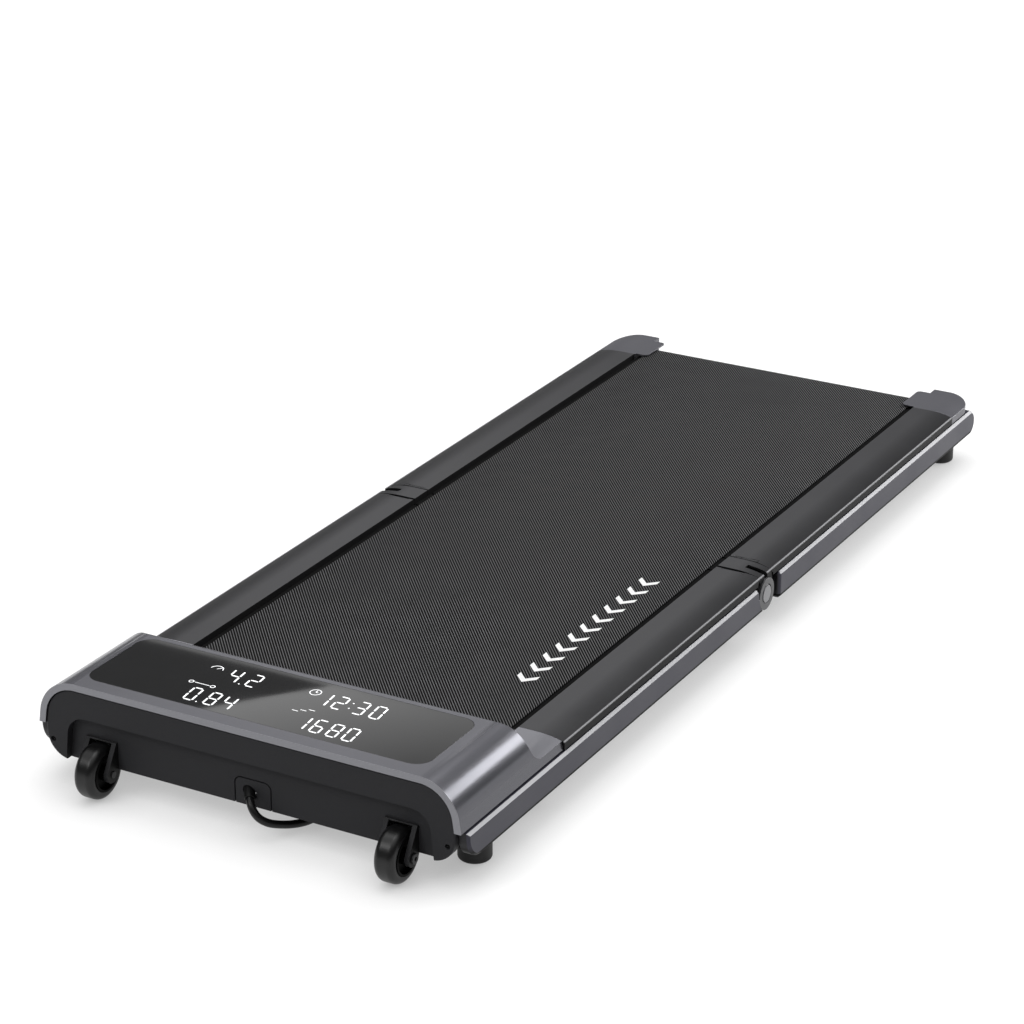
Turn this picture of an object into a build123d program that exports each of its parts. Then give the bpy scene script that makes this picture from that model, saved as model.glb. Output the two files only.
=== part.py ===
from build123d import *
import math
import os

os.makedirs("parts", exist_ok=True)

# Overall envelope, millimetres. X runs across, Y from the console to the rear end, Z up.
overall_width = 550.0
body_length = 1409.0
console_height = 130.0
ground_gap = 36.0

# Transport wheels under the console front
wheel_radius = 31.5
wheel_width = 25.0
wheel_inset = 40.0
axle_lead = 0.5
wheel_axle_radius = 4.0
hub_radius = 22.0
tread_round = 7.5
fork_gap = 29.0
fork_arm = 6.0

# Walking belt and its rollers; the belt spans what the two side bands leave
side_band = 71.0
belt_thickness = 2.0
belt_top = 84.5
drum_radius = 19.7
drum_wall = 3.7
belt_seat = 0.3
drive_roller_setback = 190.0
idler_inset = 43.0
roller_axle_radius = 6.0
deck_thickness = 15.0
cross_depth = 30.0
cross_inset = 75.0

# Side rails
rail_top = 88.0
rail_drop = 5.0
rail_inset = 3.0
belt_side_gap = 11.0
crown_flat = 23.0
cover_wall = 2.5
skirt_z = 73.5

# Side panels and frame tubes
panel_top_z = 71.5
panel_depth = 13.0
panel_wall = 2.5
panel_bevel = 3.2
tube_side_gap = 9.0
tube_height = 36.0
tube_wall = 2.0
tube_lift = 4.0
corner_share = 0.62
panel_return = 8.0
nose_round = 30.0
tail_round = 17.5
end_round = 8.0

# Fold: two hinge axes, one at each seam
fold_setback = 736.0
link_span = 42.0
pin_radius = 2.5
knuckle_radius = 4.6
knuckle_sink = 0.4
knuckle_share = 0.184
link_share = 0.43
side_play = 0.3
fold_clearance = 0.4
cap_radius = 20.5

# Console
console_setback = 153.0
console_seam = 222.0
shell_wall = 4.0
shell_foot_inset = 5.0
shoulder_inset = 13.0
shoulder_radius = 48.0
rim_width = 8.0
rim_depth = 6.0
glass_margin = 2.0
glass_depth = 120.0
glass_setback = 80.0
glass_shift = -4.0
glass_thickness = 2.0
glass_radius = 20.0

# Front panel
panel_sink = 1.5
panel_body = 13.5
panel_skin = 4.0
front_panel_bottom = 33.0
recess_depth = 9.5
recess_top = 89.0
recess_margin = 29.0
leg_round = 30.0
port_width = 48.0
port_height = 33.0
port_depth = 2.2
port_round = 9.0
port_groove = 1.6
port_x = 5.0

# Drive
motor_radius = 31.0
motor_length = 106.0
motor_wall = 4.0
motor_setback = 85.0
motor_overhang = 38.0
armature_radius = 21.0
armature_length = 70.0
motor_shaft_radius = 5.0
motor_pulley_radius = 11.0
drive_pulley_radius = 19.0
pulley_width = 7.0
rib_belt_thickness = 2.0
controller_width = 150.0
controller_depth = 80.0
controller_height = 24.0
fin_height = 14.0
fin_pitch = 10.0

# Feet
foot_radius = 19.0
mid_foot_radius = 10.0

# Fits
running_fit = 0.05
slip_fit = 0.3

# Mains cord
cord_diameter = 9.0
relief_length = 20.5
relief_embed = 8.3
relief_flare = 2.8
coil_pitch = 9.8
coil_turns = 2.375
coil_inner_radius = 34.0
coil_lift = 2.2

# Places along the length
front_y = -(body_length - wheel_radius - axle_lead) / 2
rear_y = front_y + body_length
half_width = overall_width / 2
belt_width = overall_width - 2 * side_band
fold_y = front_y + fold_setback
hinge_front_y = fold_y - link_span / 2
hinge_rear_y = fold_y + link_span / 2
drive_y = front_y + drive_roller_setback
idler_y = rear_y - idler_inset
seam_y = front_y + console_seam
wheel_y = front_y - axle_lead

# Heights and widths that follow
loop_radius = drum_radius + belt_seat
roller_z = belt_top - belt_thickness - loop_radius
belt_low = roller_z - loop_radius - belt_thickness
deck_top = belt_top - belt_thickness - belt_seat
deck_low = deck_top - deck_thickness
drum_half = belt_width / 2 + 2.0
rail_inner_x = belt_width / 2 + belt_side_gap
rail_outer_x = half_width - rail_inset
crown_x = rail_inner_x + crown_flat
rail_edge_z = rail_top - rail_drop
tube_out_x = half_width - panel_depth
tube_in_x = rail_inner_x + tube_side_gap
tube_width = tube_out_x - tube_in_x
tube_low = ground_gap + tube_lift
tube_high = tube_low + tube_height
hinge_z = rail_top - knuckle_radius - knuckle_sink
fold_relief = rail_top - hinge_z + fold_clearance
knuckle_width = knuckle_share * tube_width
link_width = link_share * tube_width
knuckle_x = tube_in_x - 2.0
link_x = knuckle_x + knuckle_width + side_play
outer_knuckle_x = link_x + link_width + side_play
far_x = outer_knuckle_x + knuckle_width - 1.0
foot_x = half_width - shell_foot_inset
shoulder_x = half_width - shoulder_inset
side_slope = (foot_x - shoulder_x) / (console_height - skirt_z)
slope_length = math.sqrt(1 + side_slope**2)
shoulder_turn = math.pi / 2 - math.atan(side_slope)
flat_half = shoulder_x - shoulder_radius * math.tan(shoulder_turn / 2)
glass_width = 2 * (flat_half - glass_margin)


def across(y):
    """Sketch plane at this Y, drawn in X and Z; an extrusion from it runs to the front."""
    return Plane.XZ.offset(-y)


def along(x):
    """Sketch plane at this X, drawn in Y and Z; an extrusion from it runs to the right."""
    return Plane.YZ.offset(x)


def level(z):
    """Sketch plane at this Z; an extrusion from it runs up."""
    return Plane.XY.offset(z)


def save(piece, name):
    piece.label = name
    export_step(piece, "parts/" + name + ".step")


def save_pair(piece, name):
    save(piece, name + "_right")
    save(mirror(piece, about=Plane.YZ), name + "_left")


def side_x(z):
    """Half width of the console's sloping side at this height."""
    return foot_x - side_slope * (z - skirt_z)


# Shared outlines: the rail's crowned top, and the space under it
with BuildSketch() as rail_shape:
    with BuildLine():
        Polyline((rail_inner_x, skirt_z), (rail_inner_x, rail_top), (crown_x, rail_top))
        TangentArc((crown_x, rail_top), (rail_outer_x, rail_edge_z), tangent=(1, 0))
        Polyline((rail_outer_x, rail_edge_z), (rail_outer_x, skirt_z), (rail_inner_x, skirt_z))
    make_face()

deep_z = tube_low - 30.0
with BuildSketch() as rail_deep:
    with BuildLine():
        Polyline((rail_inner_x, deep_z), (rail_inner_x, rail_top), (crown_x, rail_top))
        TangentArc((crown_x, rail_top), (rail_outer_x, rail_edge_z), tangent=(1, 0))
        Polyline((rail_outer_x, rail_edge_z), (rail_outer_x, deep_z), (rail_inner_x, deep_z))
    make_face()

with BuildSketch() as rail_core:
    add(rail_deep.sketch)
    offset(amount=-cover_wall)

# Frame tubes
with BuildPart() as front_tube:
    with BuildSketch(across(hinge_front_y - 4.0)):
        with Locations(((tube_in_x + tube_out_x) / 2, (tube_low + tube_high) / 2)):
            Rectangle(tube_width, tube_height)
            Rectangle(tube_width - 2 * tube_wall, tube_height - 2 * tube_wall, mode=Mode.SUBTRACT)
    extrude(amount=hinge_front_y - 4.0 - front_y - 28.0)
    with BuildSketch(along(tube_in_x - 1.0)):
        with Locations((drive_y, roller_z)):
            Circle(roller_axle_radius + slip_fit)
    extrude(amount=tube_wall + 2.0, mode=Mode.SUBTRACT)
    mirror(about=Plane.YZ)
save(front_tube.part, "front_side_tubes")

rear_tube_end = rear_y - 26.0
with BuildPart() as rear_tube:
    with BuildSketch(across(rear_tube_end)):
        with Locations(((tube_in_x + tube_out_x) / 2, (tube_low + tube_high) / 2)):
            Rectangle(tube_width, tube_height)
            Rectangle(tube_width - 2 * tube_wall, tube_height - 2 * tube_wall, mode=Mode.SUBTRACT)
    extrude(amount=rear_tube_end - hinge_rear_y - 4.0)
    with BuildSketch(along(tube_in_x - 1.0)):
        with Locations((idler_y, roller_z)):
            SlotCenterToCenter(8.0, 2 * (roller_axle_radius + slip_fit))
    extrude(amount=tube_wall + 2.0, mode=Mode.SUBTRACT)
    mirror(about=Plane.YZ)
save(rear_tube.part, "rear_side_tubes")

# Cross tubes carry the deck between the two runs of the belt
cross_low = belt_low + belt_thickness + 3.0
cross_wall = 2.0


def cross_tubes(places, name):
    with BuildPart() as tubes:
        with BuildSketch(along(-tube_in_x)):
            with Locations(*[(y, (cross_low + deck_low) / 2) for y in places]):
                Rectangle(cross_depth, deck_low - cross_low)
                Rectangle(
                    cross_depth - 2 * cross_wall,
                    deck_low - cross_low - 2 * cross_wall,
                    mode=Mode.SUBTRACT,
                )
        extrude(amount=2 * tube_in_x)
    save(tubes.part, name)


deck_half = rail_inner_x - 3.0
deck_front_y = drive_y + loop_radius + 4.0
deck_rear_y = idler_y - loop_radius - 4.0
cross_tubes((deck_front_y + cross_inset, hinge_front_y - cross_inset), "front_cross_tubes")
cross_tubes((hinge_rear_y + cross_inset, deck_rear_y - cross_inset), "rear_cross_tubes")

# Decks under the walking belt


def deck(y_low, y_high, name):
    with BuildPart() as board:
        with BuildSketch(level(deck_low)):
            with Locations((0, (y_low + y_high) / 2)):
                Rectangle(2 * deck_half, y_high - y_low)
        extrude(amount=deck_thickness)
    save(board.part, name)


deck(deck_front_y, hinge_front_y - 1.0, "front_deck")
deck(hinge_rear_y + 1.0, deck_rear_y, "rear_deck")

# Walking belt: front part, strip on the fold link, rear part
belt_relief = belt_top - hinge_z + 0.5


def belt_half(roller_y, end_y, name):
    sign = 1 if end_y > roller_y else -1
    inner = loop_radius
    outer = loop_radius + belt_thickness
    with BuildPart() as strip:
        with BuildSketch(along(-belt_width / 2)):
            with BuildLine():
                Line((end_y, roller_z + outer), (roller_y, roller_z + outer))
                ThreePointArc(
                    (roller_y, roller_z + outer),
                    (roller_y - sign * outer, roller_z),
                    (roller_y, roller_z - outer),
                )
                Polyline(
                    (roller_y, roller_z - outer),
                    (end_y, roller_z - outer),
                    (end_y, roller_z - inner),
                    (roller_y, roller_z - inner),
                )
                ThreePointArc(
                    (roller_y, roller_z - inner),
                    (roller_y - sign * inner, roller_z),
                    (roller_y, roller_z + inner),
                )
                Polyline(
                    (roller_y, roller_z + inner),
                    (end_y, roller_z + inner),
                    (end_y, roller_z + outer),
                )
            make_face()
        extrude(amount=belt_width)
    save(strip.part, name)


belt_half(drive_y, hinge_front_y - 0.4, "belt_front")
belt_half(idler_y, hinge_rear_y + 0.4, "belt_rear")

with BuildPart() as belt_fold:
    with BuildSketch(along(-belt_width / 2)):
        with Locations((fold_y, belt_top - belt_thickness / 2)):
            Rectangle(link_span - 2 * belt_relief, belt_thickness)
        with Locations((fold_y, belt_low + belt_thickness / 2)):
            Rectangle(link_span - 0.8, belt_thickness)
    extrude(amount=belt_width)
save(belt_fold.part, "belt_fold")

# Rollers turn on fixed axles
bearing_width = 12.0
drum_bore = drum_radius - drum_wall


def drum(y, name):
    with BuildPart() as roller:
        with BuildSketch(along(-drum_half)):
            with Locations((y, roller_z)):
                Circle(drum_radius)
                Circle(drum_bore, mode=Mode.SUBTRACT)
        extrude(amount=2 * drum_half)
    save(roller.part, name)


def roller_axle(y, name):
    reach = tube_in_x + tube_wall + 8.0
    with BuildPart() as axle:
        with BuildSketch(along(-reach)):
            with Locations((y, roller_z)):
                Circle(roller_axle_radius)
        extrude(amount=2 * reach)
    save(axle.part, name)


def bearings(y, name):
    with BuildPart() as rings:
        with BuildSketch(along(drum_half - bearing_width - 1.0)):
            with Locations((y, roller_z)):
                Circle(drum_bore - running_fit)
                Circle(roller_axle_radius + running_fit, mode=Mode.SUBTRACT)
        extrude(amount=bearing_width)
        mirror(about=Plane.YZ)
    save(rings.part, name)


drum(drive_y, "drive_roller")
drum(idler_y, "idler_roller")
roller_axle(drive_y, "drive_axle")
roller_axle(idler_y, "idler_axle")
bearings(drive_y, "drive_bearings")
bearings(idler_y, "idler_bearings")

# Pulley on the drive roller, motor and ribbed belt
motor_y = front_y + motor_setback
motor_z = tube_low + tube_wall + motor_radius + 8.0
motor_end = drum_half - motor_overhang
motor_x = motor_end - motor_length
shaft_start = motor_x + motor_wall

with BuildPart() as drive_pulley:
    with BuildSketch(along(drum_half)):
        with Locations((drive_y, roller_z)):
            Circle(drive_pulley_radius)
            Circle(roller_axle_radius + 0.5, mode=Mode.SUBTRACT)
    extrude(amount=pulley_width)
save(drive_pulley.part, "drive_pulley")

with BuildPart() as motor_shaft:
    with BuildSketch(along(shaft_start + 1.0)):
        with Locations((motor_y, motor_z)):
            Circle(motor_shaft_radius)
    extrude(amount=drum_half + pulley_width - shaft_start - 1.0)
    with BuildSketch(along((motor_x + motor_end - armature_length) / 2)):
        with Locations((motor_y, motor_z)):
            Circle(armature_radius)
    extrude(amount=armature_length)
    with BuildSketch(along(drum_half)):
        with Locations((motor_y, motor_z)):
            Circle(motor_pulley_radius)
    extrude(amount=pulley_width)
save(motor_shaft.part, "motor_shaft")

pan_low = tube_low
pan_high = pan_low + tube_wall
with BuildPart() as motor:
    with BuildSketch(along(motor_x)):
        with Locations((motor_y, motor_z)):
            Circle(motor_radius)
        with Locations((motor_y, (pan_high + motor_z) / 2 - 8.0)):
            Rectangle(44.0, motor_z - pan_high - 16.0)
    extrude(amount=motor_length)
    with BuildSketch(along(motor_end)):
        with Locations((motor_y, motor_z)):
            Circle(motor_radius / 2)
    extrude(amount=2 * motor_wall)
    with BuildSketch(along(motor_x + motor_wall)):
        with Locations((motor_y, motor_z)):
            Circle(motor_radius - motor_wall)
    extrude(amount=motor_length - 2 * motor_wall, mode=Mode.SUBTRACT)
    with BuildSketch(along(motor_x + motor_wall)):
        with Locations((motor_y, motor_z)):
            Circle(2 * motor_shaft_radius)
    extrude(amount=2 * motor_wall)
    with BuildSketch(along(motor_x + motor_wall)):
        with Locations((motor_y, motor_z)):
            Circle(motor_shaft_radius + running_fit)
    extrude(amount=motor_length + motor_wall, mode=Mode.SUBTRACT)
save(motor.part, "motor_housing")

with BuildPart() as rib_belt:
    with BuildSketch(along(drum_half + 0.8)):
        with Locations((motor_y, motor_z)):
            Circle(motor_pulley_radius + slip_fit + rib_belt_thickness)
        with Locations((drive_y, roller_z)):
            Circle(drive_pulley_radius + slip_fit + rib_belt_thickness)
        make_hull()
    extrude(amount=pulley_width - 1.6)
    with BuildSketch(along(drum_half)):
        with Locations((motor_y, motor_z)):
            Circle(motor_pulley_radius + slip_fit)
        with Locations((drive_y, roller_z)):
            Circle(drive_pulley_radius + slip_fit)
        make_hull()
    extrude(amount=pulley_width, mode=Mode.SUBTRACT)
save(rib_belt.part, "drive_belt")

# Belly pan and motor controller
pan_front_y = wheel_y + wheel_radius + 4.0
pan_rear_y = drive_y - loop_radius - belt_thickness - 8.0
with BuildPart() as belly_pan:
    with BuildSketch(level(pan_low)):
        with Locations((0, (pan_front_y + pan_rear_y) / 2)):
            Rectangle(2 * tube_in_x, pan_rear_y - pan_front_y)
    extrude(amount=tube_wall)
save(belly_pan.part, "belly_pan")

controller_x = -0.8 * controller_width
controller_y = motor_y + 5.0
with BuildPart() as controller:
    with BuildSketch(level(pan_high)):
        with Locations((controller_x, controller_y)):
            Rectangle(controller_width, controller_depth)
    extrude(amount=controller_height)
    with BuildSketch(level(pan_high + controller_height)):
        with Locations((controller_x, controller_y)):
            with GridLocations(fin_pitch, 0.0, 12, 1):
                Rectangle(0.3 * fin_pitch, controller_depth - fin_pitch)
    extrude(amount=fin_height)
save(controller.part, "motor_controller")

# Console shell: crowned section with a drop to rail height behind the display
with BuildSketch() as shell_shape:
    with BuildLine():
        Polyline(
            (foot_x, skirt_z),
            (shoulder_x, console_height),
            (-shoulder_x, console_height),
            (-foot_x, skirt_z),
            close=True,
        )
    make_face()
    fillet(shell_shape.vertices().group_by(Axis.Y)[-1], radius=shoulder_radius)

with BuildSketch() as shell_deep:
    with BuildLine():
        Polyline(
            (side_x(deep_z), deep_z),
            (shoulder_x, console_height),
            (-shoulder_x, console_height),
            (-side_x(deep_z), deep_z),
            close=True,
        )
    make_face()
    fillet(shell_deep.vertices().group_by(Axis.Y)[-1], radius=shoulder_radius)

with BuildSketch() as shell_core:
    add(shell_deep.sketch)
    offset(amount=-shell_wall)

with BuildSketch() as rim_core:
    add(shell_deep.sketch)
    offset(amount=-rim_width)

drop_y = front_y + console_setback
drop_foot_y = drop_y + 7.0
console_end_y = seam_y
with BuildSketch() as console_side:
    with BuildLine():
        Polyline(
            (front_y - 20.0, deep_z),
            (front_y - 20.0, console_height),
            (drop_y, console_height),
            (drop_foot_y, rail_edge_z),
            (console_end_y, rail_edge_z),
            (console_end_y, deep_z),
            close=True,
        )
    make_face()
    fillet(console_side.vertices().sort_by_distance((drop_y, console_height))[0], radius=9.0)
    fillet(console_side.vertices().sort_by_distance((drop_foot_y, rail_edge_z))[0], radius=24.0)

with BuildSketch() as console_side_core:
    add(console_side.sketch)
    offset(amount=-shell_wall)

with BuildPart() as console_core:
    with BuildSketch(across(console_end_y)):
        add(shell_core.sketch)
    extrude(amount=console_end_y - front_y - rim_depth)
    with BuildSketch(across(front_y + rim_depth)):
        add(rim_core.sketch)
    extrude(amount=rim_depth + 1.0)
    with BuildSketch(along(-overall_width)):
        add(console_side_core.sketch)
    extrude(amount=2 * overall_width, mode=Mode.INTERSECT)

glass_y = front_y + glass_setback
with BuildPart() as console_shell:
    with BuildSketch(across(console_end_y)):
        add(shell_shape.sketch)
    extrude(amount=console_end_y - front_y)
    with BuildSketch(along(-overall_width)):
        add(console_side.sketch)
    extrude(amount=2 * overall_width, mode=Mode.INTERSECT)
    add(console_core.part, mode=Mode.SUBTRACT)
    with BuildSketch(across(seam_y)):
        add(rail_shape.sketch)
        mirror(about=Plane.YZ)
        add(shell_shape.sketch, mode=Mode.INTERSECT)
    extrude(amount=seam_y - drop_y - 12.0)
    with BuildSketch(across(seam_y + 1.0)):
        add(rail_core.sketch)
        mirror(about=Plane.YZ)
        add(shell_core.sketch, mode=Mode.INTERSECT)
    extrude(amount=seam_y - drop_y + 12.0, mode=Mode.SUBTRACT)
    with BuildSketch(across(seam_y + 1.0)):
        with Locations((0, (skirt_z - 1.0 + belt_top + 3.0) / 2)):
            Rectangle(2 * rail_inner_x, belt_top + 4.0 - skirt_z)
    extrude(amount=seam_y + 1.0 - drop_y, mode=Mode.SUBTRACT)
    with BuildSketch(level(console_height)):
        with Locations((glass_shift, glass_y)):
            RectangleRounded(glass_width + 2 * slip_fit, glass_depth + 2 * slip_fit, glass_radius)
    extrude(amount=-glass_thickness, mode=Mode.SUBTRACT)
    with BuildSketch(level(console_height)):
        with Locations((glass_shift, glass_y)):
            RectangleRounded(glass_width * 0.6, glass_depth * 0.4, 6.0)
    extrude(amount=-shell_wall - 1.0, mode=Mode.SUBTRACT)
save(console_shell.part, "console_shell")

with BuildPart() as display_glass:
    with BuildSketch(level(console_height - glass_thickness)):
        with Locations((glass_shift, glass_y)):
            RectangleRounded(glass_width, glass_depth, glass_radius - slip_fit)
    extrude(amount=glass_thickness)
save(display_glass.part, "display_glass")

with BuildPart() as display_board:
    with BuildSketch(level(console_height - shell_wall)):
        with Locations((glass_shift, glass_y)):
            Rectangle(glass_width * 0.7, glass_depth * 0.55)
    extrude(amount=-1.6)
    with BuildSketch(level(console_height - shell_wall)):
        with Locations((glass_shift, glass_y)):
            Rectangle(glass_width * 0.55, glass_depth * 0.3)
    extrude(amount=1.0)
save(display_board.part, "display_board")

# Front panel with its wide recess, the cord pocket and two screws
upper_inset = (rim_width + slip_fit) * slope_length
panel_half = side_x(skirt_z) - upper_inset
recess_half = panel_half - recess_margin
wheel_track = 2 * (recess_half - wheel_inset)
panel_high = console_height - rim_width - slip_fit
panel_shoulder = side_x(panel_high) - upper_inset
panel_front_y = front_y + panel_sink
panel_back_y = panel_front_y + panel_body
recess_y = panel_front_y + recess_depth
hatch_y = recess_y + port_depth
screw_x = panel_half - 8.5
screw_z = front_panel_bottom + 22.0
screw_radius = 3.0

# The cord's strain relief starts behind the hatch and passes through it
cord_radius = cord_diameter / 2
relief_root = Vector(-0.5, hatch_y, front_panel_bottom + 17.0)
first_bend = Vector(8.5, front_y - 1.5, front_panel_bottom + 10.5)
relief_heading = (first_bend - relief_root).normalized()
relief_start = relief_root - relief_heading * relief_embed
relief_end = relief_start + relief_heading * relief_length
relief_radius = cord_radius + relief_flare

with BuildSketch() as panel_shape:
    with BuildLine():
        Polyline(
            (panel_half, front_panel_bottom),
            (panel_half, skirt_z),
            (panel_shoulder, panel_high),
            (-panel_shoulder, panel_high),
            (-panel_half, skirt_z),
            (-panel_half, front_panel_bottom),
            close=True,
        )
    make_face()
    fillet(
        panel_shape.vertices().group_by(Axis.Y)[-1],
        radius=shoulder_radius - rim_width - slip_fit,
    )
    fillet(panel_shape.vertices().group_by(Axis.Y)[0], radius=leg_round)

with BuildSketch() as recess_shape:
    with BuildLine():
        Polyline(
            (recess_half + 6.0, front_panel_bottom - 20.0),
            (recess_half - 2.0, recess_top),
            (-recess_half + 2.0, recess_top),
            (-recess_half - 6.0, front_panel_bottom - 20.0),
            close=True,
        )
    make_face()
    fillet(recess_shape.vertices().group_by(Axis.Y)[-1], radius=24.0)

with BuildSketch() as back_pocket:
    add(panel_shape.sketch)
    offset(amount=-panel_skin)

with BuildSketch() as recess_wall:
    add(recess_shape.sketch)
    offset(amount=panel_skin)

with BuildPart() as front_panel:
    with BuildSketch(across(panel_back_y)):
        add(panel_shape.sketch)
    extrude(amount=panel_body)
    fillet(front_panel.faces().sort_by(Axis.Y)[0].edges(), radius=2.5)
    with BuildSketch(across(recess_y)):
        add(recess_shape.sketch)
    extrude(amount=recess_depth + 1.0, mode=Mode.SUBTRACT)
    with BuildSketch(across(panel_back_y + 1.0)):
        add(back_pocket.sketch)
        add(recess_wall.sketch, mode=Mode.SUBTRACT)
    extrude(amount=panel_body - panel_skin + 1.0, mode=Mode.SUBTRACT)
    with BuildSketch(across(hatch_y + panel_skin)):
        with Locations((port_x, front_panel_bottom + port_height / 2)):
            RectangleRounded(port_width + 2 * panel_skin, port_height, port_round)
    extrude(amount=panel_skin)
    with BuildSketch(across(hatch_y)):
        with Locations((port_x, front_panel_bottom)):
            RectangleRounded(port_width, 2 * port_height, port_round)
            RectangleRounded(
                port_width - 2 * port_groove,
                2 * (port_height - port_groove),
                port_round - port_groove,
                mode=Mode.SUBTRACT,
            )
    extrude(amount=port_depth + 1.0, mode=Mode.SUBTRACT)
    with BuildSketch(across(panel_back_y + 1.0)):
        with Locations((screw_x, screw_z), (-screw_x, screw_z)):
            Circle(screw_radius + slip_fit)
    extrude(amount=panel_body + 2.0, mode=Mode.SUBTRACT)
    for well_x in (wheel_track / 2, -wheel_track / 2):
        with BuildSketch(along(well_x - fork_gap / 2)):
            with Locations((wheel_y, wheel_radius)):
                Circle(wheel_radius + 2.0)
        extrude(amount=fork_gap, mode=Mode.SUBTRACT)
    with BuildSketch(Plane(origin=relief_start - relief_heading * panel_skin, z_dir=relief_heading)):
        Circle(relief_radius + slip_fit)
    extrude(amount=relief_length + panel_skin, mode=Mode.SUBTRACT)
save(front_panel.part, "front_panel")

with BuildPart() as panel_screws:
    with BuildSketch(across(panel_back_y + 6.0)):
        with Locations((screw_x, screw_z), (-screw_x, screw_z)):
            Circle(screw_radius)
    extrude(amount=panel_body + 3.0)
    with BuildSketch(across(panel_front_y + 3.0)):
        with Locations((screw_x, screw_z), (-screw_x, screw_z)):
            Rectangle(1.2, 4.4)
            Rectangle(4.4, 1.2)
    extrude(amount=-1.8, mode=Mode.SUBTRACT)
save(panel_screws.part, "panel_screws")

# Rail covers end at the hinge knuckles
knuckle_room = knuckle_radius + fold_clearance


def rail_cover(y_low, y_high, hinge_y, name):
    with BuildPart() as noses:
        for nose_x, nose_end in ((rail_inner_x, knuckle_x - side_play), (far_x + side_play, rail_outer_x)):
            with BuildSketch(along(nose_x)):
                with Locations((hinge_y, hinge_z)):
                    Circle(rail_top - hinge_z)
            extrude(amount=nose_end - nose_x)
        with BuildSketch(across(hinge_y + rail_top)):
            add(rail_shape.sketch)
        extrude(amount=2 * rail_top, mode=Mode.INTERSECT)
    with BuildPart() as cover:
        with BuildSketch(across(y_high)):
            add(rail_shape.sketch)
            add(rail_core.sketch, mode=Mode.SUBTRACT)
        extrude(amount=y_high - y_low)
        with BuildSketch(along(knuckle_x - side_play)):
            with Locations((hinge_y, hinge_z)):
                Circle(knuckle_room)
        extrude(amount=far_x - knuckle_x + 2 * side_play, mode=Mode.SUBTRACT)
        add(noses.part)
    save_pair(cover.part, name)


cap_front_y = rear_y - 77.0
rail_cover(seam_y + 0.4, hinge_front_y - 0.4, hinge_front_y, "front_rail_cover")
rail_cover(hinge_rear_y + 0.4, cap_front_y - 0.4, hinge_rear_y, "rear_rail_cover")

# Side panels: channel section with a bright bevel along the top; the front one ends at the round hinge cap
front_panel_end = hinge_front_y - 4.0
cap_z = ground_gap + cap_radius + 0.5
block_x = tube_out_x + 0.5
block_out_x = rail_outer_x - 1.0
cap_seat = cap_radius + 2 * fold_clearance
tongue_end = fold_y - cap_radius / 2
tongue_y = fold_y - cap_radius
side_front_y = front_y + 8.0
notch_x = max(panel_half + slip_fit, tube_out_x + 0.5)
hollow_height = panel_top_z - ground_gap - 2 * panel_bevel - 3.0
with BuildPart() as front_side:
    with BuildSketch(along(tube_out_x)) as front_side_shape:
        with BuildLine():
            Polyline(
                (side_front_y, ground_gap),
                (tongue_end, ground_gap),
                (tongue_end, cap_z),
                (tongue_y, cap_z),
                (tongue_y, panel_top_z),
                (side_front_y, panel_top_z),
                close=True,
            )
        make_face()
        fillet(front_side_shape.vertices().sort_by_distance((side_front_y, ground_gap))[0], radius=nose_round)
        fillet(front_side_shape.vertices().sort_by_distance((tongue_y, panel_top_z))[0], radius=end_round)
    extrude(amount=panel_depth)
    face_edges = front_side.faces().sort_by(Axis.X)[-1].edges()
    chamfer(
        [e for e in face_edges if (e @ 0.5).Z > cap_z or (e @ 0.5).Y < side_front_y + nose_round / 2],
        length=panel_bevel,
    )
    with BuildSketch(across(front_panel_end - 8.0)):
        with Locations((tube_out_x + panel_depth / 2 - panel_wall, (ground_gap + panel_top_z) / 2)):
            Rectangle(panel_depth, hollow_height)
    extrude(amount=front_panel_end - side_front_y - 44.0, mode=Mode.SUBTRACT)
    with BuildSketch(level(ground_gap - 1.0)):
        with Locations((tube_out_x, side_front_y)):
            Rectangle(2 * (notch_x - tube_out_x), 2 * (panel_back_y + slip_fit - side_front_y))
        with Locations((tube_out_x, fold_y)):
            Rectangle(2 * (block_out_x + slip_fit - tube_out_x), 2 * (fold_y - front_panel_end))
    extrude(amount=panel_top_z - ground_gap + 2.0, mode=Mode.SUBTRACT)
    with BuildSketch(along(tube_out_x - 1.0)):
        with Locations((fold_y, cap_z)):
            Circle(cap_seat)
    extrude(amount=panel_depth + 2.0, mode=Mode.SUBTRACT)
save_pair(front_side.part, "front_side_panel")

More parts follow.
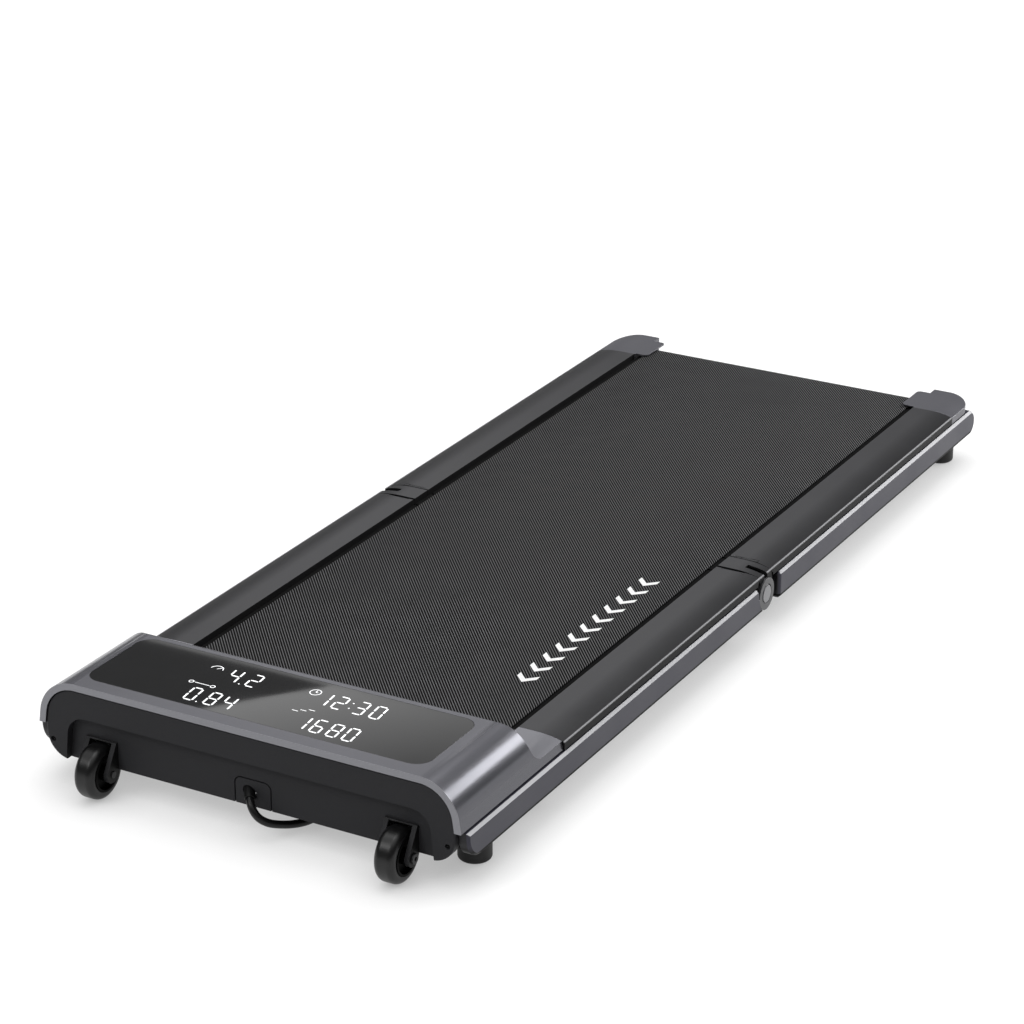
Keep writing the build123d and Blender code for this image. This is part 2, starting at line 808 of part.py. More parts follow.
rear_panel_start = hinge_rear_y + 14.5
cap_in_x = rail_inner_x - 1.0
cap_corner = corner_share * (rail_outer_x - cap_in_x)
panel_rear_y = rear_y + 2.0
panel_middle_z = (ground_gap + panel_top_z) / 2
return_x = tube_out_x - panel_return
return_y = panel_rear_y - panel_bevel - 1.0
hollow_end_y = panel_rear_y - tail_round - 2.0
with BuildPart() as rear_side:
    with BuildSketch(along(return_x)) as tail_shape:
        with Locations(((rear_panel_start + panel_rear_y) / 2, panel_middle_z)):
            Rectangle(panel_rear_y - rear_panel_start, panel_top_z - ground_gap)
        fillet(tail_shape.vertices().group_by(Axis.X)[-1], radius=tail_round)
    extrude(amount=half_width - return_x)
    fillet(rear_side.edges().filter_by(Axis.Z).group_by(Axis.Y)[0].sort_by(Axis.X)[-1], radius=5.0)
    outer_rim = rear_side.faces().sort_by(Axis.X)[-1].edges()
    chamfer([e for e in outer_rim if (e @ 0.5).Y > rear_panel_start + 6.0], length=panel_bevel)
    with BuildSketch(along(return_x)):
        with Locations(((rear_panel_start + return_y) / 2 - 5.0, panel_middle_z)):
            Rectangle(return_y - rear_panel_start + 10.0, panel_top_z - ground_gap + 2.0)
    extrude(amount=panel_return, mode=Mode.SUBTRACT)
    with BuildSketch(across(hollow_end_y)):
        with Locations((tube_out_x + panel_depth / 2 - panel_wall, panel_middle_z)):
            Rectangle(panel_depth, hollow_height)
    extrude(amount=hollow_end_y - rear_panel_start - 12.0, mode=Mode.SUBTRACT)
save_pair(rear_side.part, "rear_side_panel")

# Rear end caps close the rails and lap over the belt edge
cap_wall = 3.0
with BuildPart() as cap_core:
    with BuildSketch(level(deep_z)):
        with Locations(((cap_in_x + rail_outer_x) / 2, (cap_front_y + rear_y) / 2 - 10.0)):
            Rectangle(
                rail_outer_x - cap_in_x - 2 * cap_wall,
                rear_y - cap_front_y + 20.0 - 2 * cap_wall,
            )
    extrude(amount=rail_top)
    corner = cap_core.edges().filter_by(Axis.Z).group_by(Axis.Y)[-1].sort_by(Axis.X)[-1]
    fillet(corner, radius=cap_corner - cap_wall)
    with BuildSketch(across(rear_y)):
        add(rail_core.sketch)
    extrude(amount=body_length, mode=Mode.INTERSECT)

with BuildPart() as end_cap:
    with BuildSketch(level(tube_low)):
        with Locations(((cap_in_x + rail_outer_x) / 2, (cap_front_y + rear_y) / 2)):
            Rectangle(rail_outer_x - cap_in_x, rear_y - cap_front_y)
    extrude(amount=rail_top - tube_low)
    corner = end_cap.edges().filter_by(Axis.Z).group_by(Axis.Y)[-1].sort_by(Axis.X)[-1]
    fillet(corner, radius=cap_corner)
    with BuildSketch(across(rear_y)):
        add(rail_deep.sketch)
        with Locations((cap_in_x, rail_top / 2)):
            Rectangle(4.0, rail_top)
    extrude(amount=body_length, mode=Mode.INTERSECT)
    add(cap_core.part, mode=Mode.SUBTRACT)
    with BuildSketch(level(tube_low - 1.0)):
        with Locations((half_width, rear_y - 77.0)):
            Rectangle(2 * (half_width - return_x + 3.0), 300.0)
    extrude(amount=skirt_z - tube_low + 1.0, mode=Mode.SUBTRACT)
    with BuildSketch(level(tube_low - 1.0)):
        with Locations((cap_in_x, rear_y - 50.0)):
            Rectangle(120.0, 80.0)
    extrude(amount=skirt_z - tube_low + 1.0, mode=Mode.SUBTRACT)
    with BuildSketch(level(belt_top + 1.6)):
        with Locations((cap_in_x - 8.0, rear_y - 45.0)):
            Rectangle(20.0, 58.0)
    extrude(amount=rail_top - belt_top - 1.6)
    lip = end_cap.edges().filter_by(Axis.Z).group_by(Axis.X)[0]
    fillet(lip, radius=6.0)
save_pair(end_cap.part, "rear_end_cap")

# Fold link: steel links on four pins, cross bar, deck strip, covers and side caps
link_low = cross_low + 2.0
with BuildPart() as hinge_link:
    with BuildSketch(along(link_x)):
        with Locations((hinge_front_y, hinge_z), (hinge_rear_y, hinge_z)):
            Circle(knuckle_radius)
        with Locations((fold_y, hinge_z - knuckle_radius / 2)):
            Rectangle(link_span, knuckle_radius)
        with Locations((fold_y, (link_low + hinge_z - 2.0) / 2)):
            Rectangle(link_span - 14.0, hinge_z - 2.0 - link_low)
        with Locations((hinge_front_y, hinge_z), (hinge_rear_y, hinge_z)):
            Circle(pin_radius + running_fit, mode=Mode.SUBTRACT)
    extrude(amount=link_width)
    mirror(about=Plane.YZ)
save(hinge_link.part, "hinge_links")

with BuildPart() as hinge_pins:
    with BuildSketch(along(knuckle_x)):
        with Locations((hinge_front_y, hinge_z), (hinge_rear_y, hinge_z)):
            Circle(pin_radius)
    extrude(amount=far_x - knuckle_x)
    mirror(about=Plane.YZ)
save(hinge_pins.part, "hinge_pins")


def hinge_bracket(hinge_y, sign, name):
    with BuildPart() as bracket:
        with BuildSketch(along(knuckle_x)):
            with Locations((hinge_y, hinge_z)):
                Circle(knuckle_radius)
            with Locations((hinge_y + sign * 7.0, (tube_high + hinge_z) / 2)):
                Rectangle(14.0, hinge_z - tube_high)
        extrude(amount=knuckle_width)
        with BuildSketch(along(outer_knuckle_x)):
            with Locations((hinge_y, hinge_z)):
                Circle(knuckle_radius)
            with Locations((hinge_y + sign * 7.0, (tube_high + hinge_z) / 2)):
                Rectangle(14.0, hinge_z - tube_high)
        extrude(amount=knuckle_width - 1.0)
        with BuildSketch(level(tube_high)):
            with Locations(((knuckle_x + far_x) / 2, hinge_y + sign * 33.0)):
                Rectangle(far_x - knuckle_x, 54.0)
        extrude(amount=hinge_z - knuckle_radius - tube_high - 0.6)
        with BuildSketch(along(knuckle_x - 1.0)):
            with Locations((hinge_y, hinge_z)):
                Circle(pin_radius + running_fit)
        extrude(amount=far_x - knuckle_x + 2.0, mode=Mode.SUBTRACT)
        mirror(about=Plane.YZ)
    save(bracket.part, name)


hinge_bracket(hinge_front_y, -1, "front_hinge_brackets")
hinge_bracket(hinge_rear_y, 1, "rear_hinge_brackets")

bar_low = link_low + 2.0
bar_high = deck_low + 2.0
bar_depth = 0.8 * cross_depth
with BuildPart() as fold_bar:
    with BuildSketch(along(-link_x)):
        with Locations((fold_y, (bar_low + bar_high) / 2)):
            Rectangle(bar_depth, bar_high - bar_low)
            Rectangle(bar_depth - 2 * cross_wall, bar_high - bar_low - 2 * cross_wall, mode=Mode.SUBTRACT)
    extrude(amount=2 * link_x)
save(fold_bar.part, "fold_cross_bar")

with BuildPart() as fold_deck:
    with BuildSketch(along(-deck_half)):
        with Locations((fold_y, (bar_high + deck_top) / 2)):
            Rectangle(link_span - 4.0, deck_top - bar_high)
    extrude(amount=2 * deck_half)
save(fold_deck.part, "fold_deck")

with BuildPart() as hinge_cover:
    with BuildSketch(across(hinge_rear_y - fold_relief)):
        add(rail_shape.sketch)
        add(rail_core.sketch, mode=Mode.SUBTRACT)
    extrude(amount=link_span - 2 * fold_relief)
    with BuildSketch(along(block_x)):
        with Locations((fold_y, (ground_gap + 2.0 + rail_edge_z) / 2)):
            Rectangle(link_span - 1.2, rail_edge_z - ground_gap - 2.0)
    extrude(amount=block_out_x - block_x)
    with BuildSketch(along(block_x - 1.0)):
        with Locations((hinge_front_y, hinge_z), (hinge_rear_y, hinge_z)):
            Circle(fold_relief)
    extrude(amount=block_out_x - block_x + 2.0, mode=Mode.SUBTRACT)
    with BuildSketch(along(link_x + link_width)):
        with Locations((fold_y, cap_z + 4.0)):
            Rectangle(16.0, 14.0)
    extrude(amount=block_x - link_x - link_width)
    with BuildSketch(along(block_out_x - 25.0)):
        with Locations((fold_y, rail_top)):
            Rectangle(9.0, 2 * (rail_top - cap_z - cap_radius + 2.0))
    extrude(amount=30.0, mode=Mode.SUBTRACT)
    with BuildSketch(along(block_out_x)):
        with Locations((fold_y, cap_z)):
            Circle(cap_radius + slip_fit)
    extrude(amount=10.0, mode=Mode.SUBTRACT)
save_pair(hinge_cover.part, "hinge_cover")

with BuildPart() as hinge_caps:
    with BuildSketch(along(block_out_x)):
        with Locations((fold_y, cap_z)):
            Circle(cap_radius)
    extrude(amount=half_width - block_out_x - 0.6)
    with BuildSketch(along(block_out_x + 2.0)):
        with Locations((fold_y, cap_z)):
            Circle(cap_radius * 0.62)
            Circle(cap_radius * 0.54, mode=Mode.SUBTRACT)
    extrude(amount=10.0, mode=Mode.SUBTRACT)
    with BuildSketch(along(block_out_x + 2.0)):
        with Locations((fold_y, cap_z)):
            Circle(cap_radius * 0.54)
    extrude(amount=half_width - block_out_x - 2.0)
    chamfer(hinge_caps.faces().sort_by(Axis.X)[-1].edges(), length=0.5)
    mirror(about=Plane.YZ)
save(hinge_caps.part, "hinge_caps")

# Transport wheels
wheel_x = wheel_track / 2
fork_half = fork_gap / 2
fork_low = front_panel_bottom + 2.0
fork_high = 66.0
axle_half = fork_half + fork_arm
with BuildPart() as wheel_fork:
    for arm_x in (wheel_x - fork_half - fork_arm, wheel_x + fork_half):
        with BuildSketch(along(arm_x)):
            with Locations((wheel_y, wheel_radius)):
                Circle(10.0)
            with Locations((recess_y - 1.5, (fork_low + fork_high) / 2)):
                Rectangle(3.0, fork_high - fork_low)
            make_hull()
        extrude(amount=fork_arm)
    with BuildSketch(across(recess_y)):
        with Locations((wheel_x, (fork_low + fork_high) / 2)):
            Rectangle(2 * axle_half, fork_high - fork_low)
    extrude(amount=3.0)
    with BuildSketch(along(wheel_x - axle_half - 1.0)):
        with Locations((wheel_y, wheel_radius)):
            Circle(wheel_axle_radius + running_fit)
    extrude(amount=2 * axle_half + 2.0, mode=Mode.SUBTRACT)
    with BuildSketch(along(wheel_x - fork_half)):
        with Locations((wheel_y, wheel_radius)):
            Circle(wheel_radius + 2.0)
    extrude(amount=fork_gap, mode=Mode.SUBTRACT)
    mirror(about=Plane.YZ)
save(wheel_fork.part, "wheel_forks")

with BuildPart() as wheel_axles:
    with BuildSketch(along(wheel_x - axle_half - 1.5)):
        with Locations((wheel_y, wheel_radius)):
            Circle(wheel_axle_radius)
    extrude(amount=2 * axle_half + 1.5)
    with BuildSketch(along(wheel_x + axle_half)):
        with Locations((wheel_y, wheel_radius)):
            Circle(6.0)
            RegularPolygon(2.6, 6, mode=Mode.SUBTRACT)
    extrude(amount=2.5)
    mirror(about=Plane.YZ)
save(wheel_axles.part, "wheel_axles")


def wheel_pieces(x, side):
    with BuildPart() as hub:
        with BuildSketch(along(x - wheel_width / 2 - 1.0)):
            with Locations((wheel_y, wheel_radius)):
                Circle(hub_radius)
                Circle(wheel_axle_radius + running_fit, mode=Mode.SUBTRACT)
        extrude(amount=wheel_width + 2.0)
        for face_x in (x - wheel_width / 2 - 1.0, x + wheel_width / 2 - 5.0):
            with BuildSketch(along(face_x)):
                with Locations((wheel_y, wheel_radius)):
                    Circle(hub_radius - 3.0)
                    Circle(9.0, mode=Mode.SUBTRACT)
            extrude(amount=6.0, mode=Mode.SUBTRACT)
    save(hub.part, "wheel_hub_" + side)
    with BuildPart() as tyre:
        with BuildSketch(along(x - wheel_width / 2)):
            with Locations((wheel_y, wheel_radius)):
                Circle(wheel_radius)
        extrude(amount=wheel_width)
        fillet(tyre.edges(), radius=tread_round)
        with BuildSketch(along(x - wheel_width / 2 - 1.0)):
            with Locations((wheel_y, wheel_radius)):
                Circle(hub_radius)
        extrude(amount=wheel_width + 2.0, mode=Mode.SUBTRACT)
    save(tyre.part, "wheel_tyre_" + side)


wheel_pieces(wheel_x, "right")
wheel_pieces(-wheel_x, "left")

# Feet
foot_x_place = tube_out_x - foot_radius - 4.0
mid_foot_x = tube_in_x + 4.0


def feet(corner_place_y, mid_y, name):
    with BuildPart() as pads:
        with BuildSketch(level(0)):
            with Locations((foot_x_place, corner_place_y)):
                Circle(foot_radius)
            with Locations((mid_foot_x, mid_y)):
                Circle(mid_foot_radius)
        extrude(amount=tube_low)
        fillet(pads.faces().group_by(Axis.Z)[0].edges(), radius=4.0)
        mirror(about=Plane.YZ)
    save(pads.part, name)


feet(front_y + 83.0, hinge_front_y - 26.0, "front_feet")
feet(rear_y - 33.0, hinge_rear_y + 26.0, "rear_feet")

# Belt tension bolts push the idler axle from behind
bolt_x = tube_in_x + tube_wall + 4.0
bolt_radius = 3.0
with BuildPart() as tension_bolts:
    with BuildSketch(across(rear_tube_end)):
        with Locations((bolt_x, roller_z)):
            Circle(bolt_radius)
    extrude(amount=rear_tube_end - idler_y - roller_axle_radius)
    with BuildSketch(across(rear_tube_end + 4.0)):
        with Locations((bolt_x, roller_z)):
            RegularPolygon(5.5, 6)
    extrude(amount=4.0)
    mirror(about=Plane.YZ)
save(tension_bolts.part, "tension_bolts")

# Mains cord: strain relief, free stretch, wound-up rest with its tie, and the plug
coil_x = 112.0
coil_y = front_y + 150.0
coil_low_z = coil_lift + cord_radius
coil_layer = coil_pitch
coil_start = -2 * math.pi * coil_turns
coil_end = math.pi + 2 * math.pi * coil_turns
coil_quarters = round((coil_end - coil_start) / (math.pi / 2))


def coil_radius_at(turn):
    return coil_inner_radius + coil_pitch * math.sqrt((turn - math.pi / 2) ** 2 + 0.16) / (2 * math.pi)


def coil_height_at(turn):
    share = min(max(turn / math.pi, 0.0), 1.0)
    return coil_low_z + coil_layer * share * share * (3 - 2 * share)


def coil_point(turn):
    angle = math.pi - (turn - coil_start)
    radius = coil_radius_at(turn)
    return Vector(
        coil_x + radius * math.cos(angle),
        coil_y + radius * math.sin(angle),
        coil_height_at(turn),
    )


def coil_heading(turn):
    return (coil_point(turn + 1e-4) - coil_point(turn - 1e-4)).normalized()


coil_places = [coil_start + (coil_end - coil_start) * k / coil_quarters for k in range(coil_quarters + 1)]
coil_first = coil_point(coil_start)
coil_last = coil_point(coil_end)
coil_in = coil_first - coil_heading(coil_start) * cord_diameter
coil_out = coil_last + coil_heading(coil_end) * cord_diameter

with BuildPart() as cord_coil:
    with BuildLine() as coil_path:
        Line(coil_in, coil_first)
        for turn_a, turn_b in zip(coil_places[:-1], coil_places[1:]):
            p_a = coil_point(turn_a)
            p_b = coil_point(turn_b)
            t_a = coil_heading(turn_a)
            t_b = coil_heading(turn_b)
            span = p_b - p_a
            both = t_a + t_b
            spread = 2 * (1 - t_a.dot(t_b))
            reach = (math.sqrt(span.dot(both) ** 2 + spread * span.dot(span)) - span.dot(both)) / spread
            middle = (p_a + p_b + (t_a - t_b) * reach) * 0.5
            turn_mid = (p_b - t_b * reach - p_a - t_a * reach).normalized()
            TangentArc(p_a, middle, tangent=t_a)
            TangentArc(middle, p_b, tangent=turn_mid)
        Line(coil_last, coil_out)
    with BuildSketch(Plane(origin=coil_in, z_dir=coil_heading(coil_start))):
        Circle(cord_radius)
    sweep()
save(cord_coil.part, "power_cord_coil")
coil_length = coil_path.wires()[0].length
coil_share = cord_coil.part.volume / (math.pi * cord_radius**2 * coil_length)
print("coil length", round(coil_length), "volume share", round(coil_share, 4))

coil_samples = [coil_start + (coil_end - coil_start) * k / 660 for k in range(661)]
coil_points = [coil_point(t) for t in coil_samples]
coil_gap = min(
    (coil_points[a] - coil_points[b]).length
    for a in range(0, 661, 2)
    for b in range(a + 40, 661, 2)
)
print("coil gap", round(coil_gap - cord_diameter, 2))

cord_inside = relief_root + relief_heading * 5.0
floor_z = cord_radius + 0.2
coil_lead = coil_in - coil_heading(coil_start) * 30.0
cord_route = [
    cord_inside,
    first_bend,
    Vector(19.0, front_y - 4.5, front_panel_bottom - 2.0),
    Vector(27.5, front_y + 3.5, front_panel_bottom - 11.0),
    Vector(34.5, front_y + 16.5, front_panel_bottom - 17.0),
    Vector(42.0, front_y + 32.0, front_panel_bottom - 22.0),
    Vector(48.5, front_y + 51.5, floor_z + 2.7),
    Vector(51.5, front_y + 79.0, floor_z + 0.9),
    coil_lead,
    coil_in,
]


def bend_radii(route):
    radii = []
    for a, b, c in zip(route[:-2], route[1:-1], route[2:]):
        half_turn = math.radians((b - a).get_angle(c - b)) / 2
        radii.append(0.45 * min((b - a).length, (c - b).length) / math.tan(half_turn))
    return radii


tail_lead = coil_out + coil_heading(coil_end) * 20.0
tail_route = [
    coil_out,
    tail_lead,
    tail_lead + Vector(20.0, 0.8, -7.9),
    tail_lead + Vector(38.0, 0.8, -7.9),
]
print("cord radii", [round(r, 1) for r in bend_radii(cord_route)])
print("tail radii", [round(r, 1) for r in bend_radii(tail_route)])

with BuildPart() as cord_free:
    with BuildLine() as free_path:
        FilletPolyline(*cord_route, radius=bend_radii(cord_route))
    with BuildSketch(Plane(origin=cord_route[0], z_dir=relief_heading)):
        Circle(cord_radius)
    sweep()
with BuildPart() as cord_tail:
    with BuildLine() as tail_path:
        FilletPolyline(*tail_route, radius=bend_radii(tail_route))
    with BuildSketch(Plane(origin=tail_route[0], z_dir=tail_route[1] - tail_route[0])):
        Circle(cord_radius)
    sweep()
for tube, path in ((cord_free, free_path), (cord_tail, tail_path)):
    tube_share = tube.part.volume / (math.pi * cord_radius**2 * path.wires()[0].length)
    print("cord length", round(path.wires()[0].length), "volume share", round(tube_share, 4))
with BuildPart() as power_cord:
    add(cord_free.part)
    add(cord_tail.part)
save(power_cord.part, "power_cord")

with BuildPart() as strain_relief:
    with BuildSketch(Plane(origin=relief_start, z_dir=relief_heading)):
        Circle(relief_radius)
    with BuildSketch(Plane(origin=relief_end, z_dir=relief_heading)):
        Circle(cord_radius + 1.1)
    loft()
    with BuildSketch(Plane(origin=cord_inside, z_dir=relief_heading)):
        Circle(cord_radius + running_fit)
    extrude(amount=relief_length, mode=Mode.SUBTRACT)
save(strain_relief.part, "cord_strain_relief")

tie_wall = 1.4
tie_width = 10.0
tie_room = 1.0
tie_in = coil_inner_radius - cord_radius - tie_room
tie_out = coil_radius_at(coil_start) + cord_radius + tie_room
tie_low = coil_lift - 0.6
tie_high = coil_low_z + coil_layer + cord_radius + tie_room
tie_heading = math.radians(-45.0)
tie_plane = Plane(
    origin=(coil_x, coil_y, 0),
    x_dir=(math.cos(tie_heading), math.sin(tie_heading), 0),
    z_dir=(math.sin(tie_heading), -math.cos(tie_heading), 0),
)
with BuildPart() as cord_tie:
    with BuildSketch(tie_plane):
        with Locations(((tie_in + tie_out) / 2, (tie_low + tie_high) / 2)):
            RectangleRounded(
                tie_out - tie_in + 2 * tie_wall, tie_high - tie_low + 2 * tie_wall, 4.0 + tie_wall
            )
            RectangleRounded(tie_out - tie_in, tie_high - tie_low, 4.0, mode=Mode.SUBTRACT)
    extrude(amount=tie_width / 2, both=True)
save(cord_tie.part, "cord_tie")

plug_length = 34.0
plug_width = 35.0
plug_height = 15.0
plug_tail = 14.0
plug_start = tail_route[-1]
with BuildPart() as plug:
    with BuildSketch(Plane(origin=plug_start, x_dir=(0, 1, 0), z_dir=(1, 0, 0))):
        Circle(cord_radius + 1.2)
    with BuildSketch(
        Plane(origin=plug_start + Vector(plug_tail, 0, 0), x_dir=(0, 1, 0), z_dir=(1, 0, 0))
    ):
        Circle(cord_radius + 2.8)
    loft()
    with BuildSketch(
        Plane(origin=plug_start + Vector(plug_tail, 0, 0), x_dir=(0, 1, 0), z_dir=(1, 0, 0))
    ):
        RectangleRounded(plug_width, plug_height, 6.0)
    extrude(amount=plug_length)
    with BuildSketch(
        Plane(
            origin=plug_start + Vector(plug_tail + plug_length, 0, 0),
            x_dir=(0, 1, 0),
            z_dir=(1, 0, 0),
        )
    ):
        with Locations((-9.5, 0), (9.5, 0)):
            Circle(2.0)
    extrude(amount=19.0)
save(plug.part, "power_plug")
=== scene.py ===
"""Folding walking treadmill: finishes, belt, display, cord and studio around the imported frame."""

import math

import bmesh
import bpy
from mathutils import Matrix, Vector


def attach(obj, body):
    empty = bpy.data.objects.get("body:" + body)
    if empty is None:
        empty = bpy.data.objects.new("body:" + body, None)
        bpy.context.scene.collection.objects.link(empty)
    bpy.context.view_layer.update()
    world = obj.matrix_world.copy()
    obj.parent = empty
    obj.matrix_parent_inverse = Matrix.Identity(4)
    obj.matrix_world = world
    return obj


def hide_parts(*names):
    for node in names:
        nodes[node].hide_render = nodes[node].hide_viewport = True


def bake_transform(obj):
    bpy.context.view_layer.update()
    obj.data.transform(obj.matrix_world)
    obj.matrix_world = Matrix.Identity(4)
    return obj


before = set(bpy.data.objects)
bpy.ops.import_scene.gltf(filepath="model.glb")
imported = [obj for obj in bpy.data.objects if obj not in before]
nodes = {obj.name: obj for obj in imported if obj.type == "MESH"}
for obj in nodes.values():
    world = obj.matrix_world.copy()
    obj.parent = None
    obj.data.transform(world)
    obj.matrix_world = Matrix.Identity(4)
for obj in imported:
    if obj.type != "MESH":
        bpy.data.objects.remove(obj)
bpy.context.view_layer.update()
MM = 0.001

# Places shared with the part's source, millimetres
FRONT_Y = -688.5
FOLD_Y = 47.5
HINGE_FRONT_Y = 26.5
HINGE_REAR_Y = 68.5
DRIVE_Y = -498.5
IDLER_Y = 677.5
ROLLER_Z = 62.5
LOOP_RADIUS = 20.0
BELT_HALF = 204.0
BELT_THICK = 2.0
BELT_TOP = 84.5
GLASS_TOP = 130.0
HATCH_Y = -675.3


# Material kit
class Finish:
    """A material's node tree around one Principled shader."""

    def __init__(self, name):
        self.material = bpy.data.materials.new(name)
        self.material.use_nodes = True
        self.tree = self.material.node_tree
        self.shader = self.tree.nodes["Principled BSDF"]

    def set(self, **values):
        for key, value in values.items():
            self.shader.inputs[key.replace("_", " ").title().replace("Ior", "IOR")].default_value = value

    def node(self, kind, links=None, values=None, **properties):
        made = self.tree.nodes.new(kind)
        for key, value in properties.items():
            setattr(made, key, value)
        for key, value in (values or {}).items():
            made.inputs[key].default_value = value
        for key, socket in (links or {}).items():
            self.tree.links.new(socket, made.inputs[key])
        return made

    def feed(self, name, socket):
        self.tree.links.new(socket, self.shader.inputs[name])

    def place(self, stretch=(1.0, 1.0, 1.0)):
        """Coordinates in metres that stay with the piece."""
        where = self.node("ShaderNodeTexCoord")
        return self.node(
            "ShaderNodeMapping", {"Vector": where.outputs["Object"]}, {"Scale": stretch}
        ).outputs["Vector"]

    def noise(self, place, scale, detail=3.0, roughness=0.5):
        return self.node(
            "ShaderNodeTexNoise",
            {"Vector": place},
            {"Scale": scale, "Detail": detail, "Roughness": roughness},
        ).outputs["Fac"]

    def span(self, socket, low, high, start=0.3, end=0.7):
        """Low at the start of a value's range, high at its end, and level outside it."""
        return self.node(
            "ShaderNodeMapRange",
            {"Value": socket},
            {"From Min": start, "From Max": end, "To Min": low, "To Max": high},
        ).outputs["Result"]

    def mix(self, factor, dark, light):
        made = self.node("ShaderNodeMix", data_type="RGBA")
        self.tree.links.new(factor, made.inputs["Factor"])
        for socket, colour in ((made.inputs[6], dark), (made.inputs[7], light)):
            if isinstance(colour, bpy.types.NodeSocket):
                self.tree.links.new(colour, socket)
            else:
                socket.default_value = (*colour, 1.0)
        return made.outputs[2]

    def calc(self, kind, first, second):
        """One step of arithmetic on two sockets, or on a socket and a number."""
        links, values = {}, {}
        for key, value in ((0, first), (1, second)):
            (links if isinstance(value, bpy.types.NodeSocket) else values)[key] = value
        return self.node("ShaderNodeMath", links, values, operation=kind).outputs[0]

    def spot(self, axis):
        """Where a point of the piece lies along one of its own axes, in metres."""
        where = self.node("ShaderNodeTexCoord")
        return self.node("ShaderNodeSeparateXYZ", {"Vector": where.outputs["Object"]}).outputs[axis]

    def slope(self, axis):
        """How much a face points along one of the piece's own axes."""
        where = self.node("ShaderNodeTexCoord")
        return self.node("ShaderNodeSeparateXYZ", {"Vector": where.outputs["Normal"]}).outputs[axis]

    def facing(self, axis):
        """How much a face points along one of the piece's own axes, either way."""
        return self.calc("ABSOLUTE", self.slope(axis), 0.0)

    def band(self, socket, low, high, soft):
        """1 between two limits, 0 outside them."""
        rise = self.span(socket, 0.0, 1.0, low - soft, low + soft)
        fall = self.span(socket, 1.0, 0.0, high - soft, high + soft)
        return self.calc("MULTIPLY", rise, fall)

    def bump(self, height, strength, depth):
        return self.node(
            "ShaderNodeBump", {"Height": height}, {"Strength": strength, "Distance": depth}
        ).outputs["Normal"]


DRIFT_SCALE = 14.0


def body_coat(made, colour, vary, rough, metal, grain, bump, depth, stretch=(1.0, 1.0, 1.0), **extra):
    """A moulded, painted or drawn finish: slight colour and gloss drift, and a fine grain."""
    broad = made.noise(made.place(), DRIFT_SCALE, 4.0)
    fine = made.noise(made.place(stretch), grain, 2.0, 0.6)
    dark = [c * (1 - vary) for c in colour]
    light = [c * (1 + vary) for c in colour]
    both = made.calc("ADD", broad, fine)
    made.feed("Roughness", made.span(broad, *rough))
    made.feed("Normal", made.bump(fine, bump, depth))
    made.set(metallic=metal, **extra)
    return made.mix(made.span(both, 0.0, 1.0, 0.7, 1.3), dark, light)


def surface(name, colour, **looks):
    """A finish that is the same all over a piece."""
    made = Finish(name)
    made.feed("Base Color", body_coat(made, colour, **looks))
    return made.material


# Where the shell's painted edge highlight, painted lap light and painted crest light lie, in metres
SHELL_EDGE_HIGHLIGHT = (FRONT_Y * MM + 0.0004, FRONT_Y * MM + 0.0012)
SHELL_LAP_LIGHT = (0.095, 0.105)
SHELL_CREST_LIGHT = (0.1285, 0.1298)


def shell_finish():
    """Satin metallic paint with painted light: a painted highlight along the front edge, painted light on
    the crest and the rear laps, and painted shade on the right flank.
    """
    made = Finish("shell_paint")
    coat = body_coat(
        made, (0.140, 0.140, 0.157), vary=0.04, rough=(0.22, 0.27), metal=0.6, grain=2600.0, bump=0.05,
        depth=0.00004,
    )
    # Painted highlight: a pale line along the front edge
    edge = made.span(made.spot("Y"), 1.0, 0.0, *SHELL_EDGE_HIGHLIGHT)
    # Painted light: upward faces low on the shell are paler
    low = made.span(made.spot("Z"), 1.0, 0.0, *SHELL_LAP_LIGHT)
    painted_lap_light = made.calc("MULTIPLY", low, made.span(made.facing("Z"), 0.0, 1.0, 0.7, 0.85))
    # Painted light: the crest round the glass is paler
    painted_crest_light = made.span(made.spot("Z"), 0.0, 1.0, *SHELL_CREST_LIGHT)
    # Painted shade: faces turned to the right are darker
    painted_flank_shade = made.span(made.slope("X"), 0.0, 1.0, 0.8, 0.95)
    shaded = made.mix(painted_flank_shade, made.mix(painted_crest_light, coat, (0.168, 0.168, 0.188)), (0.100, 0.100, 0.114))
    highlighted = made.mix(edge, shaded, (0.235, 0.235, 0.255))
    made.feed("Base Color", made.mix(painted_lap_light, highlighted, (0.26, 0.26, 0.285)))
    return made.material


# Where the rail's painted arris highlight and painted shade towards the outer edge lie, in metres
RAIL_ARRIS_HIGHLIGHT = (0.2704, 0.2730)
ARRIS_HIGHLIGHT_LOW = (0.0818, 0.0822)
RAIL_SHADE_FALL = (0.236, 0.268)


